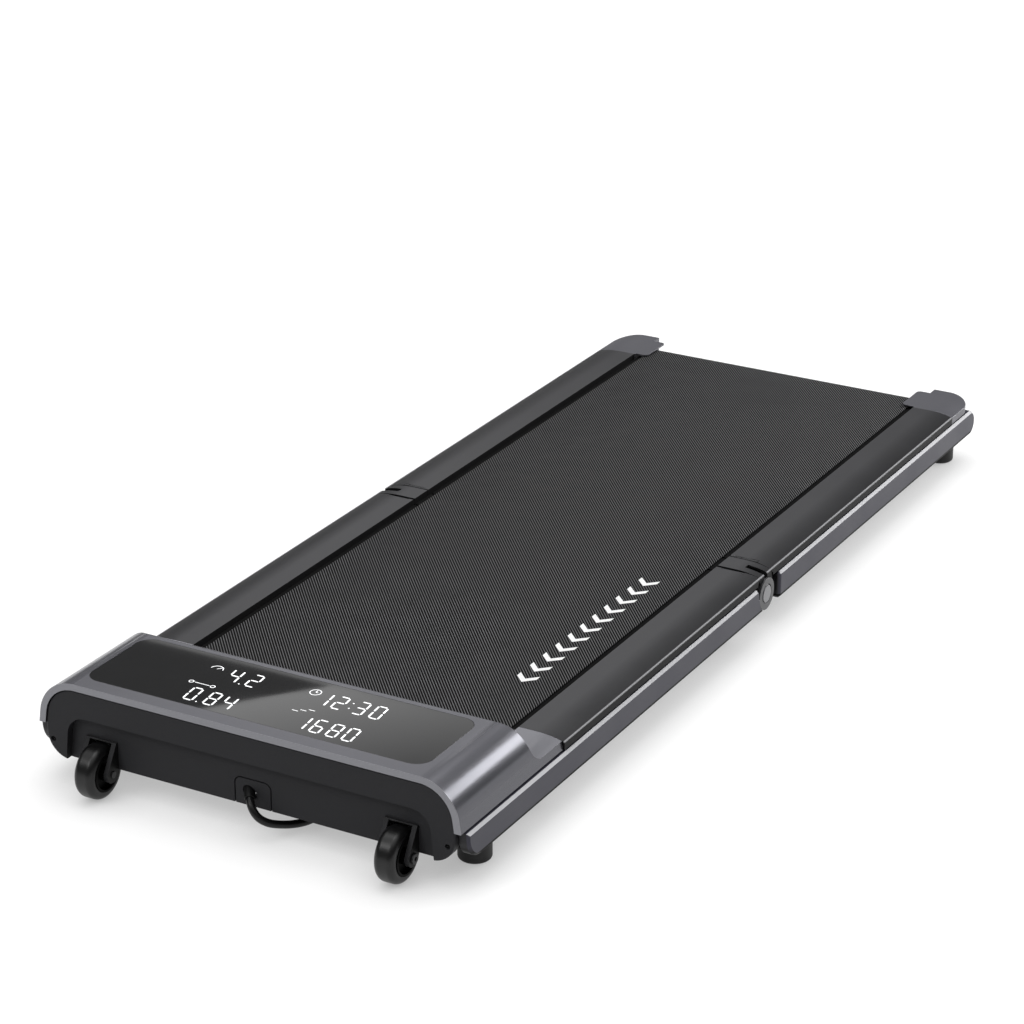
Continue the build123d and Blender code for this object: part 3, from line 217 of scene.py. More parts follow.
def rail_finish():
    """Dark satin top with painted light: painted shade towards the outer edge, a thin painted highlight
    along the outer arris, and upright sides painted near black as shade.
    """
    made = Finish("rail_satin")
    coat = body_coat(
        made, (0.064, 0.064, 0.068), vary=0.05, rough=(0.30, 0.36), metal=0.5, grain=1800.0, bump=0.08,
        depth=0.00005,
    )
    across = made.calc("ABSOLUTE", made.spot("X"), 0.0)
    # Painted shade: the top darkens towards the outer edge
    painted_crown_shade = made.mix(made.span(across, 0.0, 1.0, *RAIL_SHADE_FALL), coat, (0.026, 0.026, 0.028))
    # Painted highlight: a pale line along the outer arris, at its height only
    outer = made.band(across, *RAIL_ARRIS_HIGHLIGHT, 0.0003)
    painted_arris_highlight = made.calc("MULTIPLY", outer, made.span(made.spot("Z"), 0.0, 1.0, *ARRIS_HIGHLIGHT_LOW))
    # Painted shade: faces turning sideways or lengthwise are near black
    painted_upright_shade = made.span(made.facing("X"), 0.0, 1.0, 0.93, 0.97)
    painted_wall_shade = made.calc("MAXIMUM", painted_upright_shade, made.span(made.facing("Y"), 0.0, 1.0, 0.2, 0.4))
    wall_shaded = made.mix(painted_wall_shade, painted_crown_shade, (0.013, 0.013, 0.0135))
    made.feed("Base Color", made.mix(painted_arris_highlight, wall_shaded, (0.27, 0.27, 0.28)))
    # The painted highlight and painted shade lose their metal and most of their gloss
    painted_light_areas = made.calc("MAXIMUM", painted_arris_highlight, painted_wall_shade)
    made.feed("Metallic", made.span(painted_light_areas, 0.5, 0.0, 0.0, 1.0))
    made.feed("Specular IOR Level", made.span(painted_light_areas, 0.5, 0.04, 0.0, 1.0))
    return made.material


# Height of the painted shade along the panel's lowest strip, in metres
PANEL_LIP_SHADE = (0.0414, 0.0422)


def side_finish():
    """Brushed and anodised alloy with painted light: a painted highlight on the upper bevel, and painted
    shade on the end faces, the downward faces and the lowest strip.
    """
    made = Finish("side_anodised")
    coat = body_coat(
        made, (0.043, 0.042, 0.058), vary=0.05, rough=(0.32, 0.40), metal=0.3, grain=900.0, bump=0.03,
        depth=0.00003, stretch=(1.0, 0.02, 1.0),
    )
    along = made.span(made.facing("Y"), 1.0, 0.0, 0.25, 0.45)
    # Painted highlight: the upper bevel is pale and plain
    painted_bevel_highlight = made.calc("MULTIPLY", made.band(made.slope("Z"), 0.5, 0.9, 0.08), along)
    # Painted shade: the lowest strip and the downward faces are near black
    painted_lip_shade = made.span(made.spot("Z"), 1.0, 0.0, *PANEL_LIP_SHADE)
    painted_under_shade = made.calc("MAXIMUM", made.span(made.slope("Z"), 1.0, 0.0, -0.5, -0.3), painted_lip_shade)
    # Painted shade: the end faces are darker
    end = made.span(made.facing("Y"), 0.0, 1.0, 0.75, 0.95)
    bevel_highlighted = made.mix(painted_bevel_highlight, coat, (0.52, 0.52, 0.54))
    ends_shaded = made.mix(end, bevel_highlighted, (0.022, 0.022, 0.024))
    made.feed("Base Color", made.mix(painted_under_shade, ends_shaded, (0.004, 0.004, 0.0042)))
    painted_light_areas = made.calc("MAXIMUM", painted_bevel_highlight, painted_under_shade)
    made.feed("Metallic", made.span(painted_light_areas, 0.3, 0.0, 0.0, 1.0))
    made.feed("Specular IOR Level", made.span(painted_light_areas, 0.25, 0.06, 0.0, 1.0))
    return made.material


CAP_CENTRE = Vector((0.0, FOLD_Y, 57.0)) * MM
CAP_BOSS = 11.5 * MM


def hinge_cap_finish():
    """A turned disc: pale boss in a dark ring."""
    made = Finish("cap_turned")
    coat = body_coat(
        made, (0.060, 0.060, 0.063), vary=0.06, rough=(0.28, 0.36), metal=0.4, grain=1500.0, bump=0.1,
        depth=0.00005,
    )
    where = made.node("ShaderNodeTexCoord")
    centred = made.node(
        "ShaderNodeVectorMath", {0: where.outputs["Object"]}, {1: CAP_CENTRE}, operation="SUBTRACT"
    ).outputs["Vector"]
    flat = made.node(
        "ShaderNodeVectorMath", {0: centred}, {1: (0.0, 1.0, 1.0)}, operation="MULTIPLY"
    ).outputs["Vector"]
    radius = made.node("ShaderNodeVectorMath", {0: flat}, operation="LENGTH").outputs["Value"]
    boss = made.span(radius, 1.0, 0.0, CAP_BOSS - 0.0004, CAP_BOSS + 0.0004)
    made.feed("Base Color", made.mix(boss, coat, (0.235, 0.235, 0.245)))
    return made.material


def fork_finish():
    """Moulded arms with painted shade: the sides are painted near black, the front edges keep the coat."""
    made = Finish("fork_nylon")
    coat = body_coat(
        made, (0.030, 0.030, 0.032), vary=0.1, rough=(0.4, 0.5), metal=0.0, grain=1300.0, bump=0.12,
        depth=0.00008, specular_ior_level=0.2,
    )
    # Painted shade: faces turning sideways are near black
    side = made.span(made.facing("X"), 0.0, 1.0, 0.6, 0.95)
    made.feed("Base Color", made.mix(side, coat, (0.004, 0.004, 0.0042)))
    return made.material


shell_grey = shell_finish()
rail_grey = rail_finish()
side_alloy = side_finish()
cap_turned = hinge_cap_finish()
cap_grey = surface(
    "cap_paint", (0.125, 0.125, 0.140), vary=0.05, rough=(0.30, 0.38), metal=0.5, grain=2200.0,
    bump=0.08, depth=0.00005,
)
panel_black = surface(
    "panel_textured", (0.036, 0.036, 0.039), vary=0.10, rough=(0.46, 0.56), metal=0.0, grain=1500.0,
    bump=0.2, depth=0.0001, specular_ior_level=0.12,
)
frame_paint = surface(
    "powder_coat", (0.010, 0.010, 0.0105), vary=0.15, rough=(0.5, 0.65), metal=0.0, grain=700.0,
    bump=0.3, depth=0.0002, specular_ior_level=0.25,
)
deck_board = surface(
    "deck_laminate", (0.004, 0.004, 0.004), vary=0.2, rough=(0.7, 0.8), metal=0.0, grain=300.0,
    bump=0.15, depth=0.0001, specular_ior_level=0.04,
)
steel = surface(
    "drawn_steel", (0.50, 0.50, 0.51), vary=0.08, rough=(0.25, 0.38), metal=1.0, grain=500.0, bump=0.12,
    depth=0.00005, stretch=(0.02, 1.0, 1.0),
)
dark_steel = surface(
    "black_oxide", (0.03, 0.03, 0.0315), vary=0.12, rough=(0.36, 0.48), metal=0.3, grain=900.0,
    bump=0.1, depth=0.00005,
)
motor_paint = surface(
    "motor_enamel", (0.03, 0.03, 0.033), vary=0.1, rough=(0.3, 0.4), metal=0.0, grain=600.0, bump=0.15,
    depth=0.0001,
)
heat_sink = surface(
    "cast_alloy", (0.42, 0.42, 0.43), vary=0.08, rough=(0.4, 0.55), metal=1.0, grain=1200.0, bump=0.25,
    depth=0.0001,
)
board_green = surface(
    "circuit_board", (0.015, 0.09, 0.045), vary=0.2, rough=(0.35, 0.45), metal=0.0, grain=400.0,
    bump=0.1, depth=0.0001,
)
wheel_black = surface(
    "wheel_nylon", (0.002, 0.002, 0.0021), vary=0.12, rough=(0.4, 0.5), metal=0.0, grain=1300.0,
    bump=0.12, depth=0.00008, specular_ior_level=0.04,
)
tyre_black = surface(
    "tyre_rubber", (0.004, 0.004, 0.0042), vary=0.15, rough=(0.30, 0.38), metal=0.0, grain=1700.0,
    bump=0.15, depth=0.0001, specular_ior_level=0.4,
)
fork_black = fork_finish()
foot_rubber = surface(
    "foot_rubber", (0.008, 0.008, 0.008), vary=0.15, rough=(0.5, 0.65), metal=0.0, grain=1200.0,
    bump=0.25, depth=0.0001,
)
cord_black = surface(
    "cord_sheath", (0.005, 0.005, 0.0053), vary=0.12, rough=(0.34, 0.46), metal=0.0, grain=1500.0,
    bump=0.15, depth=0.00008, specular_ior_level=0.3,
)
tie_black = surface(
    "tie_weave", (0.02, 0.02, 0.021), vary=0.25, rough=(0.75, 0.9), metal=0.0, grain=1400.0, bump=0.5,
    depth=0.0003,
)
glass_black = surface(
    "display_glass", (0.014, 0.014, 0.0145), vary=0.05, rough=(0.02, 0.03), metal=0.0, grain=60.0,
    bump=0.0, depth=0.00001,
)

NODE_FINISH = {
    "console_shell": shell_grey,
    "rear_end_cap_left": cap_grey,
    "rear_end_cap_right": cap_grey,
    "front_rail_cover_left": rail_grey,
    "front_rail_cover_right": rail_grey,
    "rear_rail_cover_left": rail_grey,
    "rear_rail_cover_right": rail_grey,
    "hinge_cover_left": rail_grey,
    "hinge_cover_right": rail_grey,
    "front_side_panel_left": side_alloy,
    "front_side_panel_right": side_alloy,
    "rear_side_panel_left": side_alloy,
    "rear_side_panel_right": side_alloy,
    "front_panel": panel_black,
    "display_glass": glass_black,
    "display_board": board_green,
    "belly_pan": frame_paint,
    "front_side_tubes": frame_paint,
    "front_cross_tubes": frame_paint,
    "rear_side_tubes": frame_paint,
    "rear_cross_tubes": frame_paint,
    "fold_cross_bar": frame_paint,
    "front_deck": deck_board,
    "rear_deck": deck_board,
    "fold_deck": deck_board,
    "motor_housing": motor_paint,
    "motor_controller": heat_sink,
    "motor_shaft": steel,
    "drive_axle": steel,
    "drive_bearings": steel,
    "drive_roller": steel,
    "drive_pulley": dark_steel,
    "drive_belt": tyre_black,
    "idler_roller": steel,
    "idler_axle": steel,
    "idler_bearings": steel,
    "tension_bolts": steel,
    "panel_screws": dark_steel,
    "wheel_axles": dark_steel,
    "wheel_forks": fork_black,
    "wheel_hub_left": wheel_black,
    "wheel_hub_right": wheel_black,
    "wheel_tyre_left": tyre_black,
    "wheel_tyre_right": tyre_black,
    "front_feet": foot_rubber,
    "rear_feet": foot_rubber,
    "front_hinge_brackets": rail_grey,
    "rear_hinge_brackets": rail_grey,
    "hinge_links": rail_grey,
    "hinge_pins": dark_steel,
    "hinge_caps": cap_turned,
    "cord_strain_relief": cord_black,
    "power_plug": cord_black,
}
EDGE_WIDTH = {
    "console_shell": 0.0012,
    "front_rail_cover_left": 0.0020,
    "front_rail_cover_right": 0.0020,
    "rear_rail_cover_left": 0.0020,
    "rear_rail_cover_right": 0.0020,
    "rear_end_cap_left": 0.0024,
    "rear_end_cap_right": 0.0024,
    "front_panel": 0.0008,
}
DEFAULT_EDGE = 0.0004
UNSEEN_EDGE = ("display_board", "drive_belt", "drive_bearings", "idler_bearings", "hinge_pins")


def dress(name, material):
    """Gives a CAD node its finish, small edge radii and clean shading."""
    piece = nodes[name]
    mesh = piece.data
    mesh.materials.clear()
    mesh.materials.append(material)
    if "custom_normal" in mesh.attributes:
        mesh.attributes.remove(mesh.attributes["custom_normal"])
    mesh.polygons.foreach_set("use_smooth", [True] * len(mesh.polygons))
    weld = piece.modifiers.new("weld", "WELD")
    weld.merge_threshold = 2e-6
    flat = piece.modifiers.new("flat_faces", "DECIMATE")
    flat.decimate_type = "DISSOLVE"
    flat.angle_limit = math.radians(0.4)
    if name not in UNSEEN_EDGE:
        edge = piece.modifiers.new("edges", "BEVEL")
        edge.width = EDGE_WIDTH.get(name, DEFAULT_EDGE)
        edge.segments = 2
        edge.limit_method = "ANGLE"
        edge.angle_limit = math.radians(38)
        edge.harden_normals = False
    normals = piece.modifiers.new("normals", "WEIGHTED_NORMAL")
    normals.mode = "FACE_AREA"
    normals.keep_sharp = True


for node_name, node_finish in NODE_FINISH.items():
    dress(node_name, node_finish)


# Mesh helpers
def finished_mesh(name, build):
    mesh = bpy.data.meshes.new(name)
    build.to_mesh(mesh)
    build.free()
    return mesh


def new_piece(name, mesh, material):
    piece = bpy.data.objects.new(name, mesh)
    bpy.context.scene.collection.objects.link(piece)
    piece.data.materials.append(material)
    return piece


# Camera
camera_data = bpy.data.cameras.new("camera")
camera_data.lens = 114.35
camera_data.sensor_width = 36.0
camera = bpy.data.objects.new("camera", camera_data)
bpy.context.scene.collection.objects.link(camera)
camera.location = (1.7656, -3.2499, 1.6990)
camera_target = Vector((-0.1863, 0.2346, 0.0))
camera.rotation_mode = "QUATERNION"
camera.rotation_quaternion = (camera_target - camera.location).to_track_quat("-Z", "Y")
bpy.context.scene.camera = camera

# Mains cord
CORD_RADIUS = 4.5
COIL_X = 112.0
COIL_Y = FRONT_Y + 150.0
COIL_PITCH = 9.8
COIL_TURNS = 2.375
COIL_INNER = 34.0
COIL_LOW = 2.2 + CORD_RADIUS
COIL_START = -2 * math.pi * COIL_TURNS
COIL_END = math.pi + 2 * math.pi * COIL_TURNS
POINTS_PER_TURN = 24


def coil_point(turn):
    """The wound length's centre line, as in the part's source."""
    angle = math.pi - (turn - COIL_START)
    radius = COIL_INNER + COIL_PITCH * math.sqrt((turn - math.pi / 2) ** 2 + 0.16) / (2 * math.pi)
    share = min(max(turn / math.pi, 0.0), 1.0)
    height = COIL_LOW + COIL_PITCH * share * share * (3 - 2 * share)
    return Vector((COIL_X + radius * math.cos(angle), COIL_Y + radius * math.sin(angle), height))


def coil_heading(turn):
    return (coil_point(turn + 1e-4) - coil_point(turn - 1e-4)).normalized()


relief_root = Vector((-0.5, HATCH_Y, 50.0))
first_bend = Vector((8.5, FRONT_Y - 1.5, 43.5))
relief_heading = (first_bend - relief_root).normalized()
coil_in = coil_point(COIL_START) - coil_heading(COIL_START) * 2 * CORD_RADIUS
coil_out = coil_point(COIL_END) + coil_heading(COIL_END) * 2 * CORD_RADIUS
tail_lead = coil_out + coil_heading(COIL_END) * 20.0
coil_count = round((COIL_END - COIL_START) / (2 * math.pi) * POINTS_PER_TURN)
cord_route = [
    relief_root + relief_heading * 5.0,
    first_bend,
    Vector((19.0, FRONT_Y - 4.5, 31.0)),
    Vector((27.5, FRONT_Y + 3.5, 22.0)),
    Vector((34.5, FRONT_Y + 16.5, 16.0)),
    Vector((42.0, FRONT_Y + 32.0, 11.0)),
    Vector((48.5, FRONT_Y + 51.5, 7.4)),
    Vector((51.5, FRONT_Y + 79.0, 5.6)),
    coil_in - coil_heading(COIL_START) * 30.0,
    coil_in,
    *[coil_point(COIL_START + (COIL_END - COIL_START) * k / coil_count) for k in range(coil_count + 1)],
    coil_out,
    tail_lead,
    tail_lead + Vector((20.0, 0.8, -7.9)),
    tail_lead + Vector((38.0, 0.8, -7.9)),
]
cord_curve = bpy.data.curves.new("mains_cord", "CURVE")
cord_curve.dimensions = "3D"
cord_curve.bevel_depth = CORD_RADIUS * MM
cord_curve.bevel_resolution = 6
cord_curve.resolution_u = 10
cord_curve.use_fill_caps = True
spline = cord_curve.splines.new("NURBS")
spline.points.add(len(cord_route) - 1)
for point, place in zip(spline.points, cord_route):
    point.co = (*(place * MM), 1.0)
spline.order_u = 3
spline.use_endpoint_u = True
cord = bpy.data.objects.new("mains_cord", cord_curve)
bpy.context.scene.collection.objects.link(cord)
cord_curve.materials.append(cord_black)
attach(cord, "front")
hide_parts("power_cord", "power_cord_coil")

# Strap round the coil
TIE_WIDTH = 10.0
TIE_WALL = 1.4
TIE_TURN = math.radians(-45.0)
TIE_INNER = (COIL_INNER - CORD_RADIUS - 1.0, 1.6)
tie_reach = COIL_INNER + COIL_PITCH * math.hypot(COIL_START - math.pi / 2, 0.4) / (2 * math.pi)
TIE_OUTER = (tie_reach + CORD_RADIUS + 1.0, COIL_LOW + COIL_PITCH + CORD_RADIUS + 1.0)
TIE_ROUND = 4.0
TIE_EDGE = (0.35, 0.3)
TIE_TAB = 15.0
TAB_STEPS = 6
TAB_TIP = 0.7


def rounded_loop(low, high, radius, steps=7):
    """Points and outward directions round a rounded rectangle."""
    corners = ((high[0], high[1], 0), (low[0], high[1], 90), (low[0], low[1], 180), (high[0], low[1], 270))
    loop = []
    for x, z, start in corners:
        cx = x - radius if x == high[0] else x + radius
        cz = z - radius if z == high[1] else z + radius
        for k in range(steps + 1):
            angle = math.radians(start + 90 * k / steps)
            out = (math.cos(angle), math.sin(angle))
            loop.append(((cx + radius * out[0], cz + radius * out[1]), out))
    return loop


def strap_mesh():
    """A woven band round the coil, its end lapped over the top and pressed down."""
    loop = rounded_loop(TIE_INNER, TIE_OUTER, TIE_ROUND)
    build = bmesh.new()
    away = Vector((math.cos(TIE_TURN), math.sin(TIE_TURN), 0.0))
    across_band = Vector((-away.y, away.x, 0.0))
    half = TIE_WIDTH / 2
    inset, drop = TIE_EDGE
    section = (
        (-half, drop), (-half + inset, 0.0), (half - inset, 0.0), (half, drop),
        (half, TIE_WALL - drop), (half - inset, TIE_WALL),
        (-half + inset, TIE_WALL), (-half, TIE_WALL - drop),
    )

    def ring(place, out, lift, shrink=1.0):
        made = []
        for side, rise in section:
            reach = lift + rise
            flat = (place[0] + out[0] * reach, place[1] + out[1] * reach)
            spot = Vector((COIL_X, COIL_Y, 0.0)) + away * flat[0] + across_band * (side * shrink)
            made.append(build.verts.new((spot.x * MM, spot.y * MM, flat[1] * MM)))
        return made

    def skin(rings, closed):
        pairs = list(zip(rings, rings[1:])) + ([(rings[-1], rings[0])] if closed else [])
        for first, second in pairs:
            for i in range(len(section)):
                j = (i + 1) % len(section)
                build.faces.new((first[i], first[j], second[j], second[i]))
        if not closed:
            build.faces.new(rings[0])
            build.faces.new(list(reversed(rings[-1])))

    skin([ring(place, out, 0.0) for place, out in loop], True)
    middle = (TIE_INNER[0] + TIE_OUTER[0]) / 2
    tab = [
        (middle - TIE_TAB / 2 + TIE_TAB * k / TAB_STEPS, TIE_OUTER[1]) for k in range(TAB_STEPS + 1)
    ]
    widths = [1.0] * TAB_STEPS + [TAB_TIP]
    skin([ring(place, (0.0, 1.0), TIE_WALL * 0.95, wide) for place, wide in zip(tab, widths)], False)
    bmesh.ops.recalc_face_normals(build, faces=build.faces[:])
    for face in build.faces:
        face.smooth = True
    mesh = finished_mesh("cord_strap", build)
    mesh.set_sharp_from_angle(angle=math.radians(40))
    return mesh


strap = new_piece("cord_strap", strap_mesh(), tie_black)
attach(strap, "front")
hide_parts("cord_tie")

# Walking belt
RIB_PITCH = 3.12 * MM
RIB_TURN = math.radians(49.5)


def belt_finish():
    """Diagonal ribs pressed into a black top cover, with painted light on the ridges and painted shade in
    the grooves.
    """
    made = Finish("belt_ribs")
    where = made.node("ShaderNodeUVMap")
    line = made.node(
        "ShaderNodeVectorMath",
        {0: where.outputs["UV"]},
        {1: (math.sin(RIB_TURN) / RIB_PITCH, math.cos(RIB_TURN) / RIB_PITCH, 0.0)},
        operation="DOT_PRODUCT",
    ).outputs["Value"]
    wave = made.calc("SINE", made.calc("MULTIPLY", line, 2 * math.pi), 0.0)
    broad = made.noise(made.place(), 30.0, 4.0)
    fine = made.noise(made.place(), 1600.0, 2.0)
    # Painted light and shade: ridges grey, grooves near black
    ribs = made.span(wave, 0.0, 1.0, 0.3, 0.75)
    painted_ridge_light = made.mix(made.span(broad, 0.0, 1.0), (0.102, 0.102, 0.105), (0.124, 0.124, 0.127))
    made.feed("Base Color", made.mix(ribs, (0.002, 0.002, 0.0021), painted_ridge_light))
    made.feed("Roughness", made.span(broad, 0.55, 0.7))
    height = made.node("ShaderNodeMath", {0: fine, 2: ribs}, {1: 0.15}, operation="MULTIPLY_ADD").outputs[0]
    made.feed("Normal", made.bump(height, 0.35, 0.0003))
    made.set(specular_ior_level=0.05)
    return made.material


belt_rubber = belt_finish()
# The belt's rounded edge: in from the side, down from the top
BELT_EDGE = ((0.6, 0.0), (0.2, 0.25), (0.0, 0.7), (0.0, 1.3), (0.2, 1.75), (0.6, BELT_THICK))
right_edge = [(BELT_HALF - inset, down) for inset, down in BELT_EDGE]
left_edge = [(-x, down) for x, down in reversed(right_edge)]
BELT_SECTION = left_edge[-1:] + right_edge + left_edge[:-1]
BEND_ZONE = 5.0


def stations(start, end, fine_at, coarse=24.0, fine=0.6):
    """Places along a run, close together near the bend."""
    places = [start]
    sign = 1 if end > start else -1
    while (end - places[-1]) * sign > 1e-6:
        near = abs(places[-1] - fine_at)
        step = fine if near < BEND_ZONE + 1.5 else min(coarse, max(fine, (near - BEND_ZONE) * 0.6))
        places.append(places[-1] + sign * min(step, abs(end - places[-1])))
    return places


def belt_piece(name, roller_y, hinge_y, travel_start):
    """Half of the belt loop: top run, turn round the roller, lower run, with close stations at one hinge
    line.
    """
    sign = 1 if roller_y < FOLD_Y else -1
    outer = LOOP_RADIUS + BELT_THICK
    path = [(y, ROLLER_Z + outer, 0.0, 1.0) for y in stations(FOLD_Y, roller_y, hinge_y)]
    arc = 20
    for k in range(1, arc):
        angle = math.pi * k / arc
        ny, nz = -sign * math.sin(angle), math.cos(angle)
        path.append((roller_y + ny * outer, ROLLER_Z + nz * outer, ny, nz))
    path += [(y, ROLLER_Z - outer, 0.0, -1.0) for y in reversed(stations(FOLD_Y, roller_y, hinge_y))]
    build = bmesh.new()
    uv_layer = build.loops.layers.uv.new("UVMap")
    rings, lengths, run = [], [], travel_start
    for k, (y, z, ny, nz) in enumerate(path):
        if k:
            run -= sign * math.hypot(y - path[k - 1][0], z - path[k - 1][1])
        lengths.append(run)
        rings.append(
            [build.verts.new((x * MM, (y - ny * d) * MM, (z - nz * d) * MM)) for x, d in BELT_SECTION]
        )
    count = len(BELT_SECTION)
    for k in range(len(rings) - 1):
        for i in range(count):
            j = (i + 1) % count
            corners = (rings[k][i], rings[k][j], rings[k + 1][j], rings[k + 1][i])
            face = build.faces.new(corners)
            face.smooth = True
            ends = (lengths[k], lengths[k], lengths[k + 1], lengths[k + 1])
            for loop, run_at in zip(face.loops, ends):
                loop[uv_layer].uv = (loop.vert.co.x, run_at * MM)
    build.faces.new(rings[0])
    build.faces.new(list(reversed(rings[-1])))
    bmesh.ops.recalc_face_normals(build, faces=build.faces[:])
    mesh = finished_mesh(name, build)
    mesh.set_sharp_from_angle(angle=math.radians(50))
    piece = new_piece(name, mesh, belt_rubber)
    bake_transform(piece)
    return piece


belt_front = belt_piece("walking_belt_front", DRIVE_Y, HINGE_FRONT_Y, FOLD_Y)
belt_rear = belt_piece("walking_belt_rear", IDLER_Y, HINGE_REAR_Y, FOLD_Y)
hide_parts("belt_front", "belt_fold")
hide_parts("belt_rear")

# Display and belt marks
DIGIT_LEAN = -0.1
DIGIT_TALL = 28.5
DIGIT_WIDE = 11.5
STROKE = 2.2
MARK_LIFT = 0.12
TOP_ROW = -598.5
LOW_ROW = -657.3
SEGMENTS = {
    "a": (0.0, 1.0, 1.0, 1.0), "b": (1.0, 1.0, 1.0, 0.5), "c": (1.0, 0.5, 1.0, 0.0),
    "d": (0.0, 0.0, 1.0, 0.0), "e": (0.0, 0.5, 0.0, 0.0), "f": (0.0, 1.0, 0.0, 0.5),
    "g": (0.0, 0.5, 1.0, 0.5),
}
LIT = {
    "0": "abcdef", "1": "bc", "2": "abged", "3": "abgcd", "4": "fgbc",
    "5": "afgcd", "6": "afgedc", "7": "abc", "8": "abcdefg", "9": "abcdfg",
}


def glow_finish():
    """Lit segments behind the glass, a little uneven."""
    made = Finish("display_glow")
    drift = made.noise(made.place(), 220.0, 2.0)
    made.feed("Emission Color", made.mix(made.span(drift, 0.0, 1.0), (0.86, 0.88, 0.90), (0.97, 0.98, 1.0)))
    made.set(base_color=(0.6, 0.6, 0.6, 1.0), emission_strength=0.85, roughness=0.4)
    return made.material


def print_finish():
    """White ink on the belt, broken up slightly by the ribs."""
    made = Finish("belt_print")
    drift = made.noise(made.place(), 500.0, 3.0)
    made.feed("Base Color", made.mix(made.span(drift, 0.0, 1.0), (0.66, 0.66, 0.66), (0.78, 0.78, 0.78)))
    made.feed("Normal", made.bump(drift, 0.2, 0.0002))
    made.set(roughness=0.6)
    return made.material


class Marks:
    """Flat marks drawn in one plane, in millimetres."""

    def __init__(self, height):
        self.build = bmesh.new()
        self.height = height

    def patch(self, corners):
        self.build.faces.new([self.build.verts.new((x * MM, y * MM, self.height * MM)) for x, y in corners])

    def bar(self, start, end, width, lean=0.0, origin=(0.0, 0.0)):
        """A stroke with pointed ends, drawn upright and then leant over."""
        (ax, ay), (bx, by) = start, end
        run = math.hypot(bx - ax, by - ay)
        ux, uy = (bx - ax) / run, (by - ay) / run
        half = width / 2
        outline = []
        far = run - half
        for along, side in ((0, 0), (half, -half), (far, -half), (run, 0), (far, half), (half, half)):
            x = ax + ux * along - uy * side
            y = ay + uy * along + ux * side
            outline.append((origin[0] + x + lean * y, origin[1] + y))
        self.patch(outline)

    def ring(self, centre, radius, width, start=0.0, end=360.0, steps=28):
        places = [math.radians(start + (end - start) * k / steps) for k in range(steps + 1)]
        for a, b in zip(places[:-1], places[1:]):
            self.patch([
                (centre[0] + r * math.cos(t), centre[1] + r * math.sin(t))
                for r, t in ((radius, a), (radius, b), (radius - width, b), (radius - width, a))
            ])

    def dot(self, x, y, size):
        half = size / 2
        self.bar((-half, 0.0), (half, 0.0), size, DIGIT_LEAN, (x, y))

    def number(self, figures, row):
        """Seven-segment figures, each from its own lower left corner."""
        gap = 0.8
        for sign, x in figures:
            for segment in LIT[sign]:
                x0, y0, x1, y1 = SEGMENTS[segment]
                dx, dy = (x1 - x0), (y1 - y0)
                near = (x0 * DIGIT_WIDE + gap * dx, y0 * DIGIT_TALL + gap * 2 * dy)
                far = (x1 * DIGIT_WIDE - gap * dx, y1 * DIGIT_TALL - gap * 2 * dy)
                self.bar(near, far, STROKE, DIGIT_LEAN, (x, row))

    def done(self, name, material, body):
        bmesh.ops.recalc_face_normals(self.build, faces=self.build.faces[:])
        for face in self.build.faces:
            if face.normal.z < 0:
                face.normal_flip()
        piece = new_piece(name, finished_mesh(name, self.build), material)
        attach(piece, body)
        return piece


display = Marks(GLASS_TOP + MARK_LIFT)
display.number((("4", -81.4), ("2", -55.8)), TOP_ROW)
display.dot(-62.9, TOP_ROW, 2.6)
display.number((("1", 35.0), ("2", 55.2), ("3", 81.8), ("0", 103.2)), TOP_ROW)
display.dot(74.0, TOP_ROW + 0.28 * DIGIT_TALL, 2.6)
display.dot(72.6, TOP_ROW + 0.72 * DIGIT_TALL, 2.6)
display.number((("0", -97.0), ("8", -71.4), ("4", -50.8)), LOW_ROW)
display.dot(-79.3, LOW_ROW, 2.6)
display.number((("1", 44.5), ("6", 64.6), ("8", 85.3), ("0", 105.2)), LOW_ROW)
# Icons over the figures: a dial, a clock, a route between two points, and stairs
ICON_LINE = 1.1
DIAL = (-105.0, -579.0)
CLOCK = (22.0, -575.0)
ROUTE_X = (-112.0, -84.0)
ROUTE_Y = -618.0
ROUTE_GAP = 4.2
STAIR_X, STAIR_Y = 22.0, -623.0
STAIR_TREAD, STAIR_RISE = 8.0, 4.5
display.ring(DIAL, 8.0, ICON_LINE, 0.0, 180.0)
display.bar(DIAL, (DIAL[0] + 5.0, DIAL[1] + 5.5), ICON_LINE)
display.ring(CLOCK, 7.0, ICON_LINE)
display.bar(CLOCK, (CLOCK[0], CLOCK[1] + 5.0), ICON_LINE)
display.bar(CLOCK, (CLOCK[0] + 3.6, CLOCK[1]), ICON_LINE)
display.ring((ROUTE_X[0], ROUTE_Y), 3.2, ICON_LINE)
display.bar((ROUTE_X[0] + ROUTE_GAP, ROUTE_Y), (ROUTE_X[1] - ROUTE_GAP, ROUTE_Y), ICON_LINE)
display.ring((ROUTE_X[1], ROUTE_Y), 3.2, ICON_LINE)
for step in range(3):
    near, rise = STAIR_X + STAIR_TREAD * step, STAIR_Y + STAIR_RISE * step
    display.bar((near, rise), (near + STAIR_TREAD, rise), ICON_LINE)
display.done("display_figures", glow_finish(), "front")

